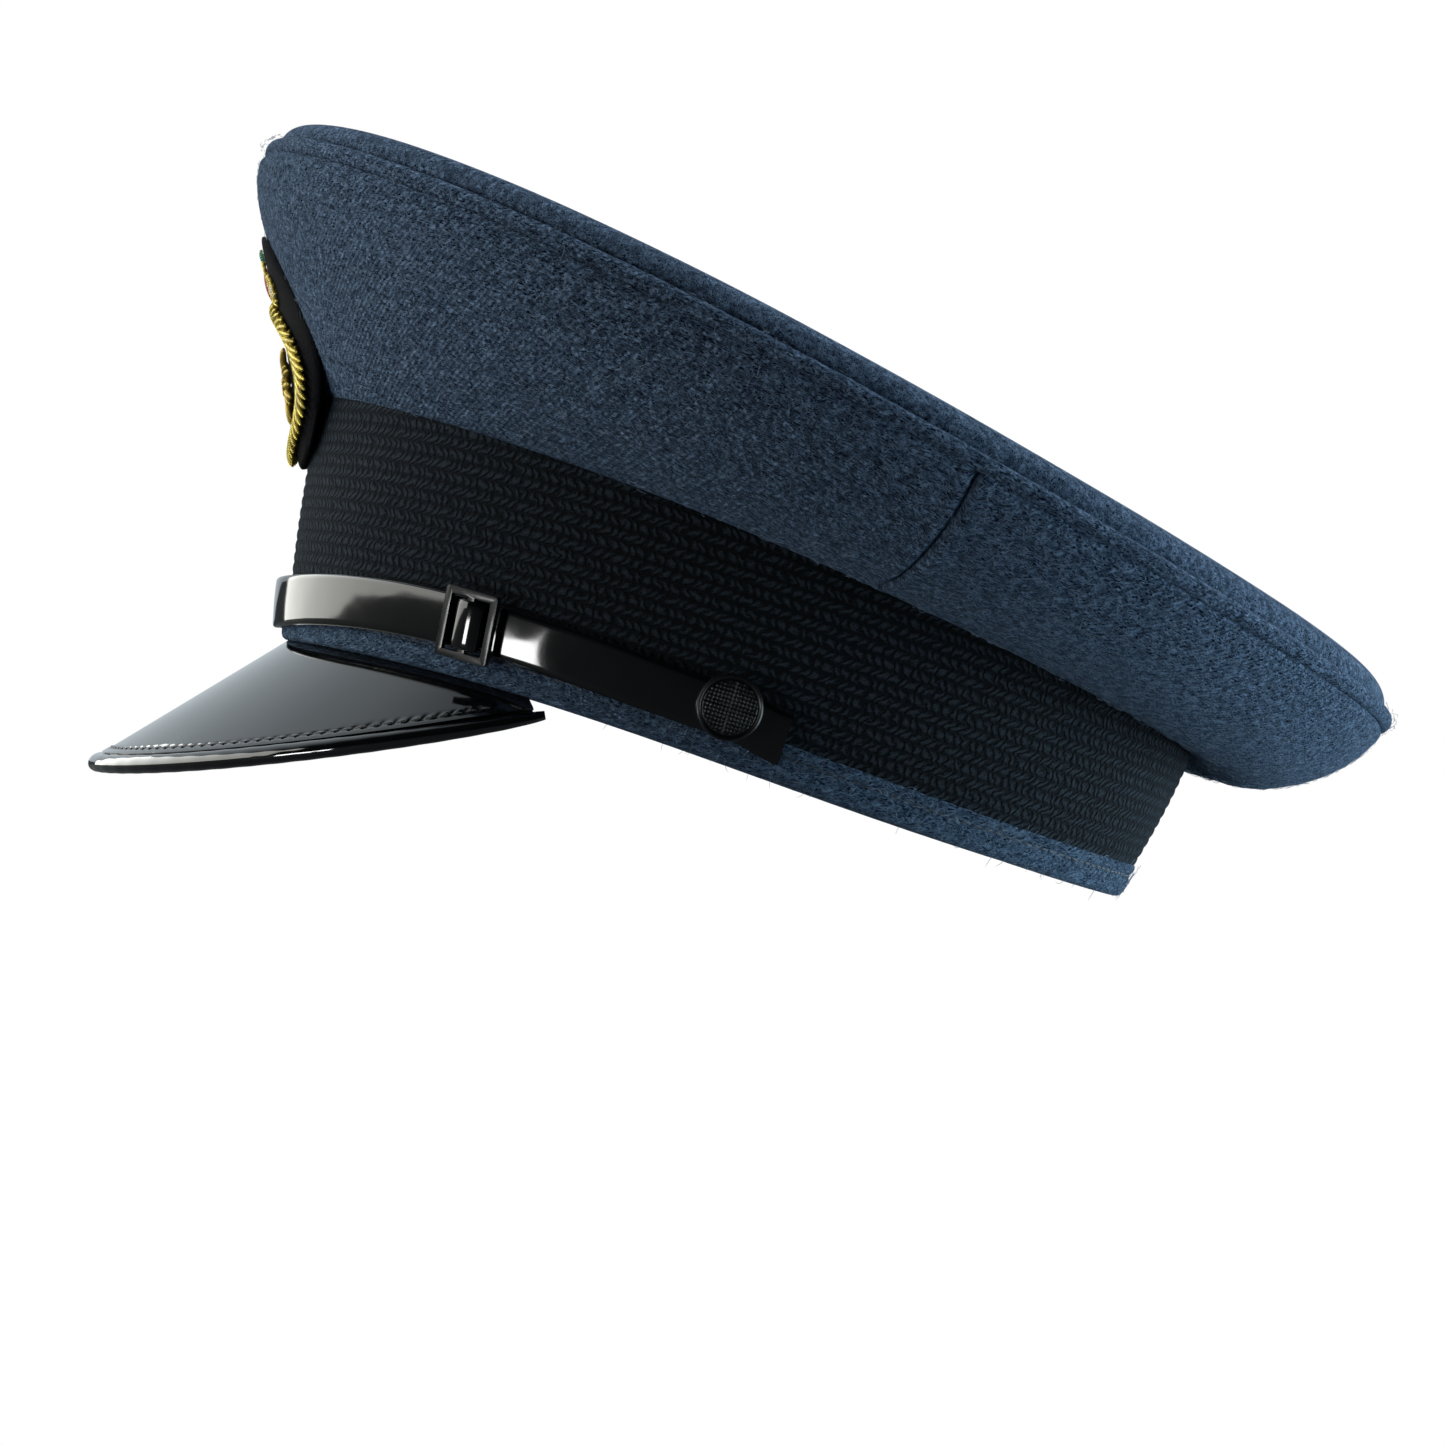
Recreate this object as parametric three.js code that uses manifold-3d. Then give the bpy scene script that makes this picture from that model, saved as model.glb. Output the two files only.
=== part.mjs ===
// Military peaked cap. Millimetres. Front of the cap is -Y, the wearer's left is +X, up is +Z.
// The origin is the centre of the head opening, level with the front of the lower edge.
// Every ring of the cap is an oval read by the angle t: 0 at the front, 90 degrees at the
// wearer's left, 180 degrees at the back.
import * as THREE from 'three';
import { mergeVertices } from 'three/addons/utils/BufferGeometryUtils.js';
import Module from 'manifold-3d';

const wasm = await Module();
wasm.setup();

// Driving dimensions
const DEGREE = Math.PI / 180;
const HALF_TURN = Math.PI;
const COLUMN_STEP = 7.5 * DEGREE;
const GAP = 0.35;
const TINY_STEP = 1e-3;
const SAME_POINT = 1e-4;

// Ovals: half width, half length, centre along Y, then heights at the front, the side and the
// back, and the skew, which lifts the front corners and lowers the back ones.
const LOWER_EDGE = { a: 85, b: 99.1, cy: -0.1, front: 0, side: 3.4, back: 1.7, skew: 4 };
const BAND_TOP = { a: 91, b: 106.8, cy: -0.9, front: 54.4, side: 48.8, back: 37.3, skew: 0.9 };
const CROWN_RIM = { a: 125, b: 140.6, cy: 5, front: 101.8, side: 76.8, back: 55.2, skew: 3.5 };

// Cloth, leather and board thicknesses
const CLOTH = 1.2;
const STIFFENER = 1.4;
const LINING = 0.6;
const LEATHER = 1.1;
const STRAP = 0.8;

// The crown's side leaves the band steeply at the front, and turns in below the rim.
const BAND_FLARE = 1.5;
const FRONT_BULGE = { reach: 1.28, turnIn: 0.22, power: 6 };
const BACK_BULGE = { reach: 1.15, turnIn: 0.15, power: 5 };
const BACK_SAG = { cube: -0.4, square: 2.65, line: -1.25 };
const SIDE_SEAM = 98.3 * DEGREE;
const SEAM_GAP = 0.1 * DEGREE;
const QUARTER_ROWS = [0.012, 0.2, 0.4, 0.6, 0.8, 0.92, 0.985];

const PIPING = { radius: 1.75, inset: 0, rise: 2.2 };
const HOOP = { radius: 1.2, inset: 5.2, rise: 2.4 };
const TOP = { start: 4, lift: 11, inset: 1.4, rollPower: 30 };

// Layers of the crown's top: thickness, how far the rim is moved in, how far the layer is
// lowered, and the share of the rim that it reaches
const TOP_CLOTH = { thick: CLOTH, inset: 0, drop: 0, reach: 1, rows: 6 };
const TOP_WADDING = { thick: 2.4, inset: 3.6, drop: 2.3, reach: 0.92, rows: 3 };
const TOP_LINING = { thick: LINING, inset: 12, drop: 8, reach: 1, rows: 4 };
const TOP_SHIELD = { thick: LINING, inset: 12, drop: 9.6, reach: 0.55, rows: 2 };

// Rings of the headband: how far each stands off the band's face, its lower edge's height and
// the share of the band, or the height, that its top reaches
const WELT_HEIGHT = 8;
const BRAID = { offset: 0, thick: CLOTH, low: WELT_HEIGHT + GAP, top: 0.985 };
const STIFF_BAND = { offset: -CLOTH - GAP, thick: STIFFENER, low: 2.6, top: 0.96 };
const SWEATBAND = { offset: -5.7, thick: LEATHER, low: 0.8, high: 30 };
const BAND_ROWS = 3;

// Inside of the crown
const FRONT_STAY = { offset: -CLOTH - 0.6, halfSpan: 30 * DEGREE, rows: [0.06, 0.3, 0.5, 0.7, 0.84] };
const SIDE_LINING = { offset: -4.6, rows: [0.1, 0.35, 0.6, 0.84] };

const CHIN_STRAP = { width: 10.8, height: 16.9, frontDrop: 8.8, sideFall: 2.8, standOff: 1.3 };
const STRAP_LAYER = STRAP + GAP;
const STRAP_TAB = { start: 88 * DEGREE, end: 95 * DEGREE, droop: 2 };
const BUTTON = { angle: 87.7 * DEGREE, y: -4.5, z: 14.6, radius: 7, clear: 1.35, sides: 24 };
const SHANK = { radius: 1.3, bandHole: 2, strapHole: 2.2, sides: 20 };
const TOGGLE = { radius: 3, thick: 0.6 };
const BUCKLE = { angle: 55.3 * DEGREE, width: 12.7, height: 14.8, bar: 1.5, depth: 1.4, corner: 0.8 };

const PEAK = { end: 65 * DEGREE, hornAngle: 67 * DEGREE, hornOut: 0.5, inset: 1, tuck: 1.25 };
const PEAK_TIP = { y: -131, z: -38.9 };
const PEAK_RISE = { height: 40.6, power: 1.15 };
const PEAK_EDGE = { width: 4.6, thickness: 3.8, hornTaper: 0.45, taperPower: 8 };
const PEAK_LAYER = { reach: 0.94, clear: 0.6, rows: 4, columns: 24 };
const PEAK_COVER = { top: 1.35, bottom: 0.65, inset: 0 };
const PEAK_BOARD = { top: 0.3, bottom: -0.7, inset: 0.4 };
const PEAK_LINING = { top: -1.05, bottom: -1.6, inset: 0 };

// The badge's line runs up the front of the cap, from [y, z] to [y, z]. It is bent round the
// cap by `curve` and hollow up its length.
const BADGE = { bottom: [-107.2, 38.5], top: [-131.4, 86], halfWidth: 26, curve: 90, hollow: 2.5 };
const BADGE_OUTLINE = { start: 0.12, span: 0.76, power: 0.4 };
const BADGE_BACKING = { thick: 1.6, edgeDrop: 0.8, edgePower: 4, cells: 8 };
const BADGE_RING = { wide: 17, high: 15.5, centre: 0.38, half: 2.2, thick: 1.1, lift: 3.1 };
const BADGE_DOME_LIFT = 2;
const BADGE_DOMES = [
  ['badge_rosette', { h: 0.38, x: 0, radius: 9, thick: 1.3, sides: 16, look: 'gold' }],
  ['badge_stone', { h: 0.8, x: 0, radius: 4, thick: 1.4, sides: 12, look: 'red' }],
  ['badge_bead_left', { h: 0.77, x: 9, radius: 2.2, thick: 1.1, sides: 10, look: 'white' }],
  ['badge_bead_right', { h: 0.77, x: -9, radius: 2.2, thick: 1.1, sides: 10, look: 'white' }],
  ['badge_bead_top', { h: 0.92, x: 0, radius: 1.8, thick: 0.9, sides: 10, look: 'green' }],
];

// Colours
const BLUE_WOOL = { color: 0x2f3e52, roughness: 0.95, metalness: 0 };
const BLACK_BRAID = { color: 0x0b0c10, roughness: 0.9, metalness: 0 };
const PATENT_BLACK = { color: 0x08090b, roughness: 0.12, metalness: 0 };
const BOARD = { color: 0x3a3128, roughness: 0.9, metalness: 0 };
const STIFF_PLASTIC = { color: 0xc9c6bb, roughness: 0.6, metalness: 0 };
const BROWN_LEATHER = { color: 0x3d2415, roughness: 0.6, metalness: 0 };
const SATIN = { color: 0x1a2233, roughness: 0.5, metalness: 0 };
const CLEAR_VINYL = { color: 0xcfd6da, roughness: 0.2, metalness: 0 };
const WADDING = { color: 0xd9d6cc, roughness: 1, metalness: 0 };
const STEEL = { color: 0x8d9196, roughness: 0.35, metalness: 1 };
const BLACK_METAL = { color: 0x0d0e10, roughness: 0.4, metalness: 0.6 };
const BADGE_FELT = { color: 0x0a0a0d, roughness: 1, metalness: 0 };
const GOLD_WIRE = { color: 0xc9a227, roughness: 0.4, metalness: 0.8 };
const BADGE_LOOKS = {
  gold: GOLD_WIRE,
  red: { color: 0x9c1220, roughness: 0.3, metalness: 0 },
  white: { color: 0xe8e6df, roughness: 0.4, metalness: 0 },
  green: { color: 0x1d6b3a, roughness: 0.4, metalness: 0 },
};

const cap = new THREE.Group();

function addPart(name, geometry, look, parent = cap) {
  const mesh = new THREE.Mesh(geometry, new THREE.MeshStandardMaterial(look));
  mesh.name = name;
  parent.add(mesh);
  return mesh;
}

// ---- Ovals and the faces of the cap -------------------------------------------------------

function mix(from, to, share) {
  return from + (to - from) * share;
}

function ovalHeight(oval, t) {
  const c = Math.cos(t);
  const s2 = Math.sin(t) ** 2;
  const middle = (oval.front + oval.back) / 2;
  return oval.front * (1 + c) / 2 + oval.back * (1 - c) / 2
    + (oval.side - middle) * s2 + oval.skew * s2 * c;
}

// Point between two ovals: `out` shares their plan, `up` shares their height.
function between(low, high, out, up, t) {
  return new THREE.Vector3(
    mix(low.a, high.a, out) * Math.sin(t),
    mix(low.cy, high.cy, out) - mix(low.b, high.b, out) * Math.cos(t),
    mix(ovalHeight(low, t), ovalHeight(high, t), up),
  );
}

// Outside of the headband: v runs from the lower edge, 0, to the band's top, 1.
function bandFace(v, t) {
  return between(LOWER_EDGE, BAND_TOP, 1 - Math.max(1 - v, 0) ** BAND_FLARE, v, t);
}

// Height of v on the band for a height z above the lower edge.
function bandShare(z, t) {
  return z / (ovalHeight(BAND_TOP, t) - ovalHeight(LOWER_EDGE, t));
}

// Outside of the crown's side: u runs from the band's top, 0, to the rim, 1.
function crownFace(u, t) {
  const back = (1 - Math.cos(t)) / 2;
  const out = (bulge) => bulge.reach * u - bulge.turnIn * u ** bulge.power;
  const backUp = BACK_SAG.cube * u ** 3 + BACK_SAG.square * u ** 2 + BACK_SAG.line * u;
  return between(
    BAND_TOP,
    CROWN_RIM,
    mix(out(FRONT_BULGE), out(BACK_BULGE), back),
    mix(u, backUp, back),
    t,
  );
}

// The crown's top, as flat layers: r is 0 at the centre and 1 at the rim. `inset` moves the
// layer's rim in, `drop` moves the layer down.
function topFace(r, t, inset, drop) {
  const a = CROWN_RIM.a - TOP.inset - inset;
  const b = CROWN_RIM.b - TOP.inset - inset;
  const c = Math.cos(t);
  const middle = (CROWN_RIM.front + CROWN_RIM.back) / 2;
  const rake = (CROWN_RIM.front - CROWN_RIM.back) / 2;
  const rimOffset = ovalHeight(CROWN_RIM, t) - middle - rake * c;
  const roll = Math.sqrt(1 - Math.min(r, 1) ** TOP.rollPower);
  return new THREE.Vector3(
    r * a * Math.sin(t),
    CROWN_RIM.cy - r * b * c,
    middle + rake * r * c + r * r * rimOffset + mix(TOP.start, TOP.lift, roll) - drop,
  );
}

// A face moved outward along its own normal.
function offsetFace(face, distance) {
  return (u, t) => {
    const here = face(u, t);
    const along = face(u, t + TINY_STEP).sub(face(u, t - TINY_STEP));
    const up = face(u + TINY_STEP, t).sub(face(u - TINY_STEP, t));
    return here.addScaledVector(along.cross(up).normalize(), distance);
  };
}

// ---- Closed bodies ------------------------------------------------------------------------

function evenly(from, to, count) {
  return Array.from({ length: count + 1 }, (_, i) => mix(from, to, i / count));
}

// Angles on the common column grid, with the exact ends.
function columns(from, to) {
  const angles = [from];
  for (let k = Math.ceil(from / COLUMN_STEP); k * COLUMN_STEP < to; k += 1) {
    if (k * COLUMN_STEP - from > COLUMN_STEP / 10 && to - k * COLUMN_STEP > COLUMN_STEP / 10) {
      angles.push(k * COLUMN_STEP);
    }
  }
  angles.push(to);
  return angles;
}

const FULL_RING = evenly(0, 2 * HALF_TURN, Math.round(2 * HALF_TURN / COLUMN_STEP));
const COARSE_RING = FULL_RING.filter((_, column) => column % 2 === 0);

// One closed body between two faces that share their grid. A full ring closes on itself, and a
// row or column that shrinks to a point closes the body there.
function shell(outer, inner, rows, angles) {
  const full = Math.abs(angles.at(-1) - angles[0] - 2 * HALF_TURN) < SAME_POINT;
  const wide = angles.length;
  const wrap = (j) => (full && j === wide - 1 ? 0 : j);
  const points = [];
  for (const face of [outer, inner]) {
    for (const u of rows) {
      for (const t of angles) {
        points.push(...face(u, t).toArray());
      }
    }
  }
  const index = [];
  const at = (side, i, j) => side * rows.length * wide + i * wide + wrap(j);
  const quad = (p, q, r, s) => index.push(p, q, r, p, r, s);
  for (let j = 0; j < wide - 1; j += 1) {
    for (let i = 0; i < rows.length - 1; i += 1) {
      quad(at(0, i, j), at(0, i, j + 1), at(0, i + 1, j + 1), at(0, i + 1, j));
      quad(at(1, i, j), at(1, i + 1, j), at(1, i + 1, j + 1), at(1, i, j + 1));
    }
    const last = rows.length - 1;
    quad(at(1, 0, j), at(1, 0, j + 1), at(0, 0, j + 1), at(0, 0, j));
    quad(at(0, last, j), at(0, last, j + 1), at(1, last, j + 1), at(1, last, j));
  }
  if (!full) {
    for (let i = 0; i < rows.length - 1; i += 1) {
      quad(at(0, i, 0), at(0, i + 1, 0), at(1, i + 1, 0), at(1, i, 0));
      quad(at(1, i, wide - 1), at(1, i + 1, wide - 1), at(0, i + 1, wide - 1), at(0, i, wide - 1));
    }
  }
  const geometry = new THREE.BufferGeometry();
  geometry.setAttribute('position', new THREE.Float32BufferAttribute(points, 3));
  geometry.setIndex(index);
  return tidyBody(geometry);
}

// Merges shared vertices, drops flattened triangles and turns the faces outward.
function tidyBody(source) {
  source.deleteAttribute('normal');
  source.deleteAttribute('uv');
  const merged = mergeVertices(source, SAME_POINT);
  const position = merged.getAttribute('position');
  const corners = merged.getIndex().array;
  const kept = [];
  let volume = 0;
  const [a, b, c] = [new THREE.Vector3(), new THREE.Vector3(), new THREE.Vector3()];
  for (let i = 0; i < corners.length; i += 3) {
    const [p, q, r] = [corners[i], corners[i + 1], corners[i + 2]];
    if (p !== q && q !== r && r !== p) {
      kept.push(p, q, r);
      a.fromBufferAttribute(position, p);
      b.fromBufferAttribute(position, q);
      c.fromBufferAttribute(position, r);
      volume += a.dot(b.cross(c));
    }
  }
  if (volume < 0) {
    kept.reverse();
  }
  merged.setIndex(kept);
  merged.computeVertexNormals();
  return merged;
}

function solidOf(geometry) {
  const body = tidyBody(geometry.clone());
  return new wasm.Manifold(new wasm.Mesh({
    numProp: 3,
    vertProperties: new Float32Array(body.getAttribute('position').array),
    triVerts: new Uint32Array(body.getIndex().array),
  }));
}

function cut(geometry, ...cutters) {
  const solid = cutters.reduce((body, cutter) => body.subtract(solidOf(cutter)), solidOf(geometry));
  const mesh = solid.getMesh();
  const result = new THREE.BufferGeometry();
  result.setAttribute('position', new THREE.Float32BufferAttribute(mesh.vertProperties, 3));
  result.setIndex(Array.from(mesh.triVerts));
  result.computeVertexNormals();
  return result;
}

// A rope of round or flat section that follows a path of points with an outward direction.
// `place` gives the section's centre and its two axes at the angle t.
function rope(place, halfWide, halfHigh, angles, sides = 4) {
  const around = (share, t) => {
    const { centre, wide, high, size = 1 } = place(t);
    return centre.clone()
      .addScaledVector(wide, size * halfWide * Math.cos(share))
      .addScaledVector(high, size * halfHigh * Math.sin(share));
  };
  const rows = evenly(0, HALF_TURN, sides);
  return shell(around, (share, t) => around(-share, t), rows, angles);
}

// Round pin along X from x0 to x1 on the side button's axis.
function sidePin(radius, x0, x1) {
  const pin = new THREE.CylinderGeometry(radius, radius, Math.abs(x1 - x0), SHANK.sides);
  pin.rotateZ(HALF_TURN / 2);
  pin.translate((x0 + x1) / 2, BUTTON.y, BUTTON.z);
  return pin;
}

// Cutter for the shank's hole through everything on one side of the headband.
function sideHole(radius, side) {
  return sidePin(radius, side * (LOWER_EDGE.a - 10), side * (LOWER_EDGE.a + 15));
}

// ---- Crown --------------------------------------------------------------------------------

const quarters = [
  ['quarter_front_left', 0, SIDE_SEAM],
  ['quarter_rear_left', SIDE_SEAM, HALF_TURN],
  ['quarter_rear_right', HALF_TURN, 2 * HALF_TURN - SIDE_SEAM],
  ['quarter_front_right', 2 * HALF_TURN - SIDE_SEAM, 2 * HALF_TURN],
];
for (const [name, from, to] of quarters) {
  const angles = columns(from + SEAM_GAP, to - SEAM_GAP);
  addPart(name, shell(crownFace, offsetFace(crownFace, -CLOTH), QUARTER_ROWS, angles), BLUE_WOOL);
}

addPart('crown_piping', rimRope(PIPING, 4), BLUE_WOOL);
addPart('crown_hoop', rimRope(HOOP, 3), STEEL);

// A round rope that follows the crown's rim, moved in and raised.
function rimRope({ radius, inset, rise }, sides) {
  const oval = { ...CROWN_RIM, a: CROWN_RIM.a - inset, b: CROWN_RIM.b - inset };
  const place = (t) => {
    const centre = between(oval, oval, 0, 0, t);
    centre.z += rise;
    return { centre, wide: outward(t), high: new THREE.Vector3(0, 0, 1) };
  };
  return rope(place, radius, radius, FULL_RING, sides);
}

function outward(t) {
  return new THREE.Vector3(
    Math.sin(t) / CROWN_RIM.a,
    -Math.cos(t) / CROWN_RIM.b,
    0,
  ).normalize();
}

// A disc layer of the crown, with rows that gather towards the rim.
function topLayer({ thick, inset, drop, reach, rows }, angles) {
  return shell(
    (r, t) => topFace(r, t, inset, drop),
    (r, t) => topFace(r, t, inset + thick, drop + thick),
    evenly(0, 1, rows).map((s) => reach * (1 - (1 - s) ** 2)),
    angles,
  );
}

addPart('crown_top', topLayer(TOP_CLOTH, FULL_RING), BLUE_WOOL);
addPart('crown_wadding', topLayer(TOP_WADDING, COARSE_RING), WADDING);
addPart('top_lining', topLayer(TOP_LINING, COARSE_RING), SATIN);
addPart('sweat_shield', topLayer(TOP_SHIELD, COARSE_RING), CLEAR_VINYL);

// A curved panel behind the crown's side.
function crownPanel({ offset, rows }, thick, angles) {
  return shell(offsetFace(crownFace, offset), offsetFace(crownFace, offset - thick), rows, angles);
}

const stayAngles = columns(-FRONT_STAY.halfSpan, FRONT_STAY.halfSpan);
addPart('front_stay', crownPanel(FRONT_STAY, STIFFENER, stayAngles), STIFF_PLASTIC);
addPart('side_lining', crownPanel(SIDE_LINING, LINING, FULL_RING), SATIN);

// ---- Headband -----------------------------------------------------------------------------

// A ring of the headband. Its top follows the band's upper edge at the share `top`, or lies at
// the height `high` above the lower edge.
function bandRing({ offset, thick, low, top, high }) {
  const level = (face) => (k, t) => {
    const end = top ?? bandShare(high, t);
    return face(mix(bandShare(low, t), end, k), t);
  };
  return shell(
    level(offsetFace(bandFace, offset)),
    level(offsetFace(bandFace, offset - thick)),
    evenly(0, 1, BAND_ROWS),
    FULL_RING,
  );
}

const shankHoles = [1, -1].map((side) => sideHole(SHANK.bandHole, side));
addPart('mohair_band', cut(bandRing(BRAID), ...shankHoles), BLACK_BRAID);
addPart('band_stiffener', cut(bandRing(STIFF_BAND), ...shankHoles), STIFF_PLASTIC);
addPart('sweatband', bandRing(SWEATBAND), BROWN_LEATHER);

// The welt is cloth folded round a cord: a thick roll below, a stitched groove, a thin ridge.
// Its profiles are pairs of distance off the band and height above the lower edge.
addPart('base_welt', baseWelt(), BLUE_WOOL);

function baseWelt() {
  const outerProfile = [[-3, 0.1], [0.2, 0], [1, 2], [0.85, 4.6], [0.4, 5.6], [0.6, WELT_HEIGHT]];
  const innerProfile = [[-3, 2.2], [-1.3, 2.3], [-CLOTH, 3.2], [-CLOTH, 4.6], [-CLOTH, 5.6],
    [-CLOTH, WELT_HEIGHT]];
  const follow = (profile) => (k, t) => {
    const [out, z] = profile[k];
    return offsetFace(bandFace, out)(bandShare(z, t), t);
  };
  return shell(follow(outerProfile), follow(innerProfile), [...outerProfile.keys()], FULL_RING);
}

// ---- Peak ---------------------------------------------------------------------------------

// Middle surface of the peak: s runs from the right horn, -1, to the left horn, 1, and v runs
// from the headband, 0, to the free edge, 1.
function peakFace(v, s) {
  const t = PEAK.end * s;
  const inner = new THREE.Vector3(
    (LOWER_EDGE.a - PEAK.inset) * Math.sin(t),
    LOWER_EDGE.cy - (LOWER_EDGE.b - PEAK.inset) * Math.cos(t),
    ovalHeight(LOWER_EDGE, t) - PEAK.tuck,
  );
  const hornX = (LOWER_EDGE.a + PEAK.hornOut) * Math.sin(PEAK.hornAngle);
  const hornY = LOWER_EDGE.cy - LOWER_EDGE.b * Math.cos(PEAK.hornAngle);
  const sweep = s * HALF_TURN / 2;
  const outer = new THREE.Vector3(
    hornX * Math.sin(sweep),
    mix(hornY, PEAK_TIP.y, Math.cos(sweep)),
    PEAK_TIP.z + PEAK_RISE.height * (1 - Math.cos(sweep)) ** PEAK_RISE.power,
  );
  return inner.lerp(outer, v);
}

addPart('peak_cover', peakLayer(PEAK_COVER), PATENT_BLACK);
addPart('peak_board', peakLayer(PEAK_BOARD), BOARD);
addPart('peak_lining', peakLayer(PEAK_LINING), PATENT_BLACK);

// One sheet of the peak, which ends inside the bound edge.
function peakLayer({ top, bottom, inset }) {
  const margin = PEAK_EDGE.width / 2 + PEAK_LAYER.clear + inset;
  const within = (distance) => (v, s) => {
    const width = peakFace(0, s).distanceTo(peakFace(1, s));
    return offsetFace(peakFace, distance)(v * (1 - margin / width), s);
  };
  return shell(
    within(top),
    within(bottom),
    evenly(0, 1, PEAK_LAYER.rows),
    evenly(-PEAK_LAYER.reach, PEAK_LAYER.reach, PEAK_LAYER.columns),
  );
}

addPart('peak_binding', rope(bindingPlace, PEAK_EDGE.width / 2, PEAK_EDGE.thickness / 2,
  evenly(-1, 1, 36), 3), PATENT_BLACK);

function bindingPlace(s) {
  const centre = peakFace(1, s);
  const along = peakFace(1, s + TINY_STEP).sub(peakFace(1, s - TINY_STEP)).normalize();
  const wide = centre.clone().sub(peakFace(0, s));
  wide.addScaledVector(along, -wide.dot(along)).normalize();
  const size = 1 - PEAK_EDGE.hornTaper * s ** PEAK_EDGE.taperPower;
  return { centre, wide, high: wide.clone().cross(along).normalize(), size };
}

// ---- Chin strap ---------------------------------------------------------------------------

// Height of the strap's middle: it dips at the front, falls a little to the side button, and
// its free tab droops.
function strapHeight(t) {
  const tab = THREE.MathUtils.smoothstep(Math.abs(t), STRAP_TAB.start, STRAP_TAB.end);
  return CHIN_STRAP.height - CHIN_STRAP.frontDrop * Math.cos(t) ** 4
    - CHIN_STRAP.sideFall * Math.sin(t) ** 8 - STRAP_TAB.droop * tab;
}

// A face of the strap, off the band by offsetAt(t). `k` runs across the strap from -1 to 1.
function strapFace(offsetAt) {
  return (k, t) => {
    const z = strapHeight(t) + k * CHIN_STRAP.width / 2 - ovalHeight(LOWER_EDGE, t);
    return offsetFace(bandFace, offsetAt(t))(bandShare(z, t), t);
  };
}

function strapGeometry(offsetAt, angles, holeSide) {
  const top = strapFace((t) => offsetAt(t) + STRAP);
  const strip = shell(top, strapFace(offsetAt), [-1, 0, 1], angles);
  return cut(strip, sideHole(SHANK.strapHole, holeSide));
}

const leftAngles = columns(-BUCKLE.angle, STRAP_TAB.end);
addPart('chin_strap_left', strapGeometry(() => CHIN_STRAP.standOff, leftAngles, 1), PATENT_BLACK);

// The right half lies on the left half between the buckles, then drops to the band.
const stepStart = -BUCKLE.angle - 8 * DEGREE;
const stepEnd = -BUCKLE.angle - DEGREE;
const rightOffset = (t) => {
  return CHIN_STRAP.standOff + STRAP_LAYER * THREE.MathUtils.smoothstep(t, stepStart, stepEnd);
};
const rightAngles = [...columns(-STRAP_TAB.end, stepStart), ...columns(stepEnd, BUCKLE.angle)];
addPart('chin_strap_right', strapGeometry(rightOffset, rightAngles, -1), PATENT_BLACK);

// Slide buckle: a rounded frame with a middle bar, standing on the two strap layers.
function buckleGeometry() {
  const { width, height, bar, depth, corner } = BUCKLE;
  const outline = roundedRectangle(0, 0, width, height, corner);
  const slotWidth = (width - 3 * bar) / 2;
  for (const side of [-1, 1]) {
    const middle = side * (bar + slotWidth) / 2;
    outline.holes.push(roundedRectangle(middle, 0, slotWidth, height - 2 * bar, corner / 4));
  }
  return new THREE.ExtrudeGeometry(outline, { depth, bevelEnabled: false, curveSegments: 3 });
}

function roundedRectangle(x, y, width, height, radius) {
  const [w, h] = [width / 2, height / 2];
  const shape = new THREE.Shape();
  shape.moveTo(x - w + radius, y - h);
  shape.lineTo(x + w - radius, y - h);
  shape.absarc(x + w - radius, y - h + radius, radius, -HALF_TURN / 2, 0);
  shape.lineTo(x + w, y + h - radius);
  shape.absarc(x + w - radius, y + h - radius, radius, 0, HALF_TURN / 2);
  shape.lineTo(x - w + radius, y + h);
  shape.absarc(x - w + radius, y + h - radius, radius, HALF_TURN / 2, HALF_TURN);
  shape.lineTo(x - w, y - h + radius);
  shape.absarc(x - w + radius, y - h + radius, radius, HALF_TURN, 1.5 * HALF_TURN);
  return shape;
}

const buckleStandOff = CHIN_STRAP.standOff + 2 * STRAP_LAYER + GAP / 2;
for (const [name, side] of [['buckle_left', 1], ['buckle_right', -1]]) {
  const t = side * BUCKLE.angle;
  const seat = strapFace(() => buckleStandOff);
  const along = seat(0, t + TINY_STEP).sub(seat(0, t - TINY_STEP)).normalize();
  const up = seat(TINY_STEP, t).sub(seat(-TINY_STEP, t)).normalize();
  const normal = along.clone().cross(up).normalize();
  const frame = new THREE.Matrix4().makeBasis(along, normal.clone().cross(along), normal);
  frame.setPosition(seat(0, t));
  const buckle = addPart(name, tidyBody(buckleGeometry()), BLACK_METAL);
  buckle.applyMatrix4(frame);
}

// ---- Side buttons -------------------------------------------------------------------------

// A low dome with a rolled rim.
function buttonGeometry() {
  const { radius, sides } = BUTTON;
  const profile = new THREE.Shape();
  profile.moveTo(0, 0);
  profile.lineTo(radius - 0.8, 0);
  profile.quadraticCurveTo(radius, 0.2, radius, 1.1);
  profile.quadraticCurveTo(radius, 1.8, radius - 0.7, 2);
  profile.lineTo(radius - 1.2, 1.75);
  profile.quadraticCurveTo(radius / 2, 2.4, 0, 2.5);
  const disc = new THREE.LatheGeometry(profile.getPoints(3), sides);
  disc.rotateZ(-HALF_TURN / 2);
  return disc;
}

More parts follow.
